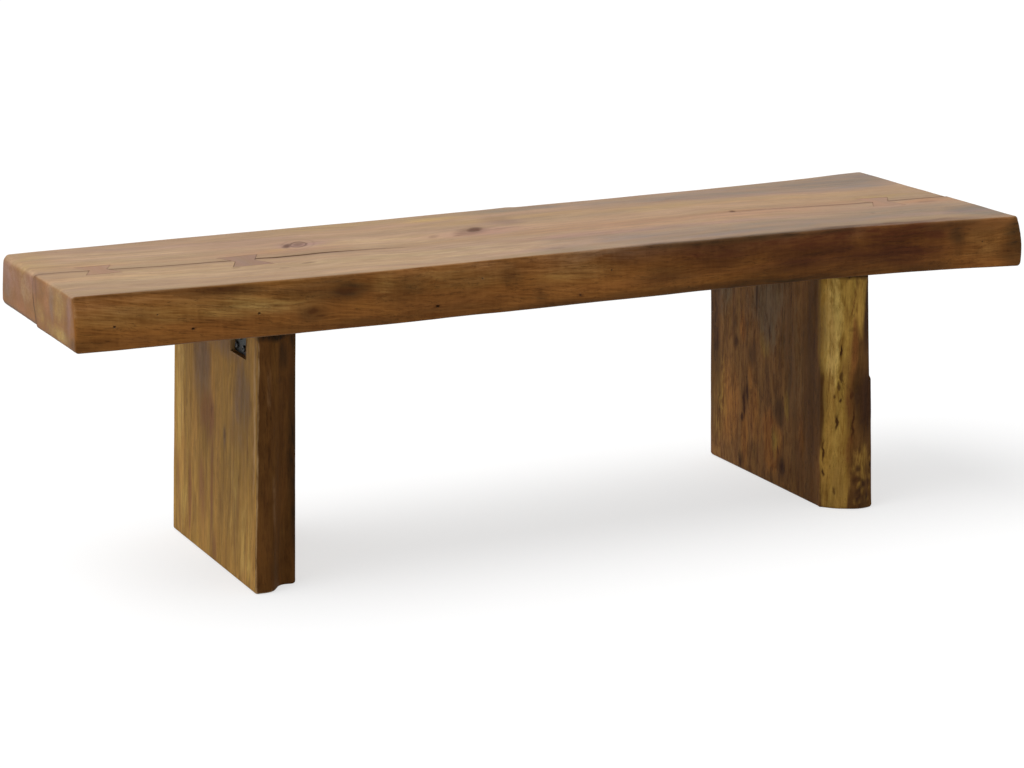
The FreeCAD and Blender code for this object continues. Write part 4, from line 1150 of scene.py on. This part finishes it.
# Pale close grain that runs along the peg, with hardly any shine.
dowel_rod, tree = blank(bpy.data.materials, "machined_beech_dowel")
here = add(tree, "TexCoord").outputs["Object"]
per_metre = [1 / (MM * mm) for mm in DOWEL_FIBRE]
place = add(tree, "VectorMath", {0: here, 1: per_metre}, operation="MULTIPLY").outputs["Vector"]
fibre = add(tree, "TexNoise", {"Vector": place, "Scale": 1.0, "Detail": 3.0}).outputs["Fac"]
tones = {"Factor": fibre, 6: linear("#A9834F"), 7: linear("#CBA873")}
tones = add(tree, "Mix", tones, data_type="RGBA").outputs[2]
bump = add(tree, "Bump", {"Strength": 0.3, "Distance": 0.2 * MM, "Height": fibre})
surface = {"Base Color": tones, "Roughness": 0.65, "Normal": bump.outputs[0], "Specular IOR Level": 0.25}
add(tree, "OutputMaterial", {"Surface": add(tree, "BsdfPrincipled", surface).outputs[0]})
for side in ("left", "right"):
    for place in ("front", "back"):
        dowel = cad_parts[f"{side}_{place}_dowel"]
        dowel.data.materials.clear()
        dowel.data.materials.append(dowel_rod)


# Angle brackets: bent from 4 mm hot-rolled plate and let into the pockets at
# the top of the legs' outer faces, one flange flat against the seat.
BLOTCH_SIZE = 9 * MM
# The steel's grit is drawn several times as coarse as real, so that it shows.
GRIT_SIZE = 1.5 * MM


def scaled_steel(name, colour, worn_colour, roughness):
    """Dark steel under scale or blacking: dull, and worn in blotches to a second colour."""
    material, tree = blank(bpy.data.materials, name)
    here = add(tree, "TexCoord").outputs["Object"]
    blotch = add(tree, "TexNoise", {"Vector": here, "Scale": 1 / BLOTCH_SIZE, "Detail": 4.0}).outputs["Fac"]
    grit = add(tree, "TexNoise", {"Vector": here, "Scale": 1 / GRIT_SIZE, "Detail": 2.0}).outputs["Fac"]
    share = {"Value": blotch, "From Min": 0.52, "From Max": 0.7, "To Max": 0.75}
    share = add(tree, "MapRange", share, interpolation_type="SMOOTHSTEP").outputs[0]
    tones = {"Factor": share, 6: linear(colour), 7: linear(worn_colour)}
    tones = add(tree, "Mix", tones, data_type="RGBA").outputs[2]
    dull = {"Value": grit, "From Min": 0.3, "From Max": 0.7}
    dull.update({"To Min": roughness - 0.1, "To Max": roughness + 0.12})
    bump = add(tree, "Bump", {"Strength": 0.35, "Distance": 0.15 * MM, "Height": grit})
    steel = {
        "Base Color": tones, "Metallic": 0.55, "Roughness": add(tree, "MapRange", dull).outputs[0],
        "Normal": bump.outputs[0],
    }
    add(tree, "OutputMaterial", {"Surface": add(tree, "BsdfPrincipled", steel).outputs[0]})
    return material


# Mill scale: blue-black and dull, with small brown blooms of rust.
bracket_steel = scaled_steel("hot_rolled_mill_scale", "#232826", "#3C2B1F", 0.55)
for side in ("left", "right"):
    for place in ("front", "back"):
        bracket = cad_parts[f"{side}_{place}_bracket"]
        bracket.data.materials.clear()
        bracket.data.materials.append(bracket_steel)

# Screws: pan-headed wood screws of blackened steel with a cross recess,
# three through each bracket into the leg and two up into the seat.
HEAD_RADIUS = 5 * MM
HEAD_HEIGHT = 3.2 * MM
THREAD_CORE = 1.75 * MM
THREAD_DEPTH = 0.75 * MM
THREAD_PITCH = 2.2 * MM
PLAIN_SHANK = 5 * MM
SCREW_POINT = 6 * MM
SIDES = 16
# The recess: how long and how thin each arm is from the middle, and how deep.
RECESS = (2.7 * MM, 0.6 * MM, 1.5 * MM)
# The pan head's outline, from its crown: shares of its height and its radius.
PAN_SHARES = ((0, 0.3), (0.05, 0.6), (0.14, 0.8), (0.32, 0.93), (0.6, 1.0), (1.0, 1.0))
# Blacking: near black and smoother than scale, rubbed grey in blotches.
screw_steel = scaled_steel("blackened_screw_steel", "#1D1F20", "#5A5650", 0.36)


def screw_frame(heading):
    """Two ways across a screw that points along a heading."""
    heading = Vector(heading)
    side = heading.orthogonal().normalized()
    return heading, side, heading.cross(side)


def shank_reach(along, turn, length):
    """How far a shank reaches out from its middle: plain under the head, then threaded, then pointed."""
    taper = np.clip((length - along) / SCREW_POINT, 0.06, 1)
    crest = 1 - abs(2 * ((along / THREAD_PITCH - turn) % 1) - 1) * 2
    threaded = along > HEAD_HEIGHT + PLAIN_SHANK
    return (THREAD_CORE + THREAD_DEPTH * (max(crest, 0) if threaded else 0.5)) * taper


def screw_shape(head, heading, length):
    """A pan head, a short plain shank and a thread that runs out to a point."""
    heading, side, other = screw_frame(heading)
    turns = [k / SIDES for k in range(SIDES)]
    rings = [(HEAD_HEIGHT * a, [HEAD_RADIUS * r] * SIDES) for a, r in PAN_SHARES]
    for along in (*np.arange(HEAD_HEIGHT, length, THREAD_PITCH / 5), length):
        rings.append((along, [shank_reach(along, turn, length) for turn in turns]))
    places = []
    for along, reaches in rings:
        for turn, reach in zip(turns, reaches):
            angle = 2 * math.pi * turn
            across = side * (reach * math.cos(angle)) + other * (reach * math.sin(angle))
            places.append(Vector(head) + heading * float(along) + across)
    last = (len(rings) - 1) * SIDES
    faces = [
        (a + k, a + (k + 1) % SIDES, a + SIDES + (k + 1) % SIDES, a + SIDES + k)
        for a in range(0, last, SIDES) for k in range(SIDES)
    ]
    faces += [tuple(range(SIDES))[::-1], tuple(range(last, last + SIDES))]
    return places, faces


def recess_tool(head, heading):
    """The cross that a screwdriver's tip fits, a little way into a screw's head."""
    heading, side, other = screw_frame(heading)
    long, thin, deep = RECESS
    outline = []
    for a, b in ((side, other), (other, -side), (-side, -other), (-other, side)):
        outline += [a * long - b * thin, a * long + b * thin, a * thin + b * thin]
    places = [Vector(head) + heading * depth + point for depth in (-deep, deep) for point in outline]
    count = len(outline)
    faces = [(k, (k + 1) % count, count + (k + 1) % count, count + k) for k in range(count)]
    faces += [tuple(range(count))[::-1], tuple(range(count, 2 * count))]
    return mesh_of(places, faces)


def screw_heads(node, into_leg):
    """Where the heads of a group of screws sit, which way they point and how long they are."""
    low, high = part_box(node)
    inset = Vector((HEAD_RADIUS,) * 3)
    first, last, middle = low + inset, high - inset, (low + high) / 2
    if not into_leg:
        return [((middle.x, y, low.z), (0, 0, 1)) for y in (first.y, last.y)], high.z - low.z
    x, way = (low.x, 1) if low.x < 0 else (high.x, -1)
    spots = ((first.y, first.z), (last.y, first.z), (middle.y, last.z))
    return [((x, y, z), (way, 0, 0)) for y, z in spots], high.x - low.x


for side in ("left", "right"):
    for place in ("front", "back"):
        for group in ("leg", "seat"):
            node = f"{side}_{place}_{group}_screws"
            heads, length = screw_heads(node, group == "leg")
            places, faces = [], []
            for head, heading in heads:
                more, sides = screw_shape(head, heading, length)
                faces += [[len(places) + i for i in face] for face in sides]
                places += more
            screws = new_piece(node + "_steel", places, faces)
            carve(screws, [recess_tool(head, heading) for head, heading in heads])
            screws.data.shade_smooth()
            screws.data.set_sharp_from_angle(angle=math.radians(40))
            screws.data.materials.append(screw_steel)
            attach(screws, "root")
            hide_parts(node)

# Studio floor: a wide pale sweep of matt painted board, on which the bench
# stands and casts its shadow. It reaches 14 m from the bench each way.
FLOOR_REACH = 14
corners = [(x * FLOOR_REACH, y * FLOOR_REACH, 0) for x, y in ((-1, -1), (1, -1), (1, 1), (-1, 1))]
floor = new_piece("floor", corners, [(0, 1, 2, 3)])


def seen_rays(tree):
    """1 for rays that look straight at a surface or by a mirror or glass, else 0."""
    ray = add(tree, "LightPath")
    looks = {0: ray.outputs["Is Camera Ray"], 1: ray.outputs["Is Glossy Ray"]}
    direct = add(tree, "Math", looks, operation="MAXIMUM")
    through = {0: direct.outputs[0], 1: ray.outputs["Is Transmission Ray"]}
    return add(tree, "Math", through, operation="MAXIMUM").outputs[0]


# Matt paint: it throws a plain warm grey up at the bench, and where it is seen
# it glows just enough to read as white and still keep the shadow.
floor_paint, tree = blank(bpy.data.materials, "pale_studio_floor")
plain = add(tree, "BsdfDiffuse", {"Color": linear("#CFCCC6")})
seen = add(tree, "BsdfDiffuse", {"Color": linear("#A8A8A8")})
glow = add(tree, "Emission", {"Color": (1, 1, 1, 1), "Strength": 0.65})
bright = add(tree, "AddShader", {0: seen.outputs[0], 1: glow.outputs[0]})
choice = add(tree, "MixShader", {0: seen_rays(tree), 1: plain.outputs[0], 2: bright.outputs[0]})
add(tree, "OutputMaterial", {"Surface": choice.outputs[0]})
floor.data.materials.append(floor_paint)

# Studio light: an even room and one broad softbox high on the left, which
# leaves the front edge in soft shade. The room looks white behind the bench.
world, tree = blank(bpy.data.worlds, "studio")
ambient = add(tree, "Background", {"Color": (1, 1, 1, 1), "Strength": 0.42})
white = add(tree, "Background", {"Color": (1, 1, 1, 1), "Strength": 1.0})
choice = add(tree, "MixShader", {0: seen_rays(tree), 1: ambient.outputs[0], 2: white.outputs[0]})
add(tree, "OutputWorld", {"Surface": choice.outputs[0]})
bpy.context.scene.world = world

lamp = bpy.data.lights.new("overhead softbox", "SUN")
lamp.energy = 2.2
lamp.angle = math.radians(50)
overhead = bpy.data.objects.new("overhead softbox", lamp)
overhead.rotation_euler = Vector((-0.45, 0.12, 0.9)).to_track_quat("Z", "Y").to_euler()
bpy.context.scene.collection.objects.link(overhead)

# Camera: at chest height, off the bench's left end and well away from it, with
# a long lens. The angles are in degrees.
CAMERA_PLACE = MM * Vector((-1814.0, -3781.7, 1257.5))
LOOKS_DOWN = 13.95
LOOKS_RIGHT = 25.48
camera = bpy.data.objects.new("camera", bpy.data.cameras.new("camera"))
camera.data.lens = 98.4375
camera.data.sensor_width = 36
camera.location = CAMERA_PLACE
camera.rotation_euler = (math.radians(90 - LOOKS_DOWN), 0, math.radians(-LOOKS_RIGHT))
bpy.context.scene.collection.objects.link(camera)
bpy.context.scene.camera = camera
bpy.context.scene.view_settings.view_transform = "Standard"
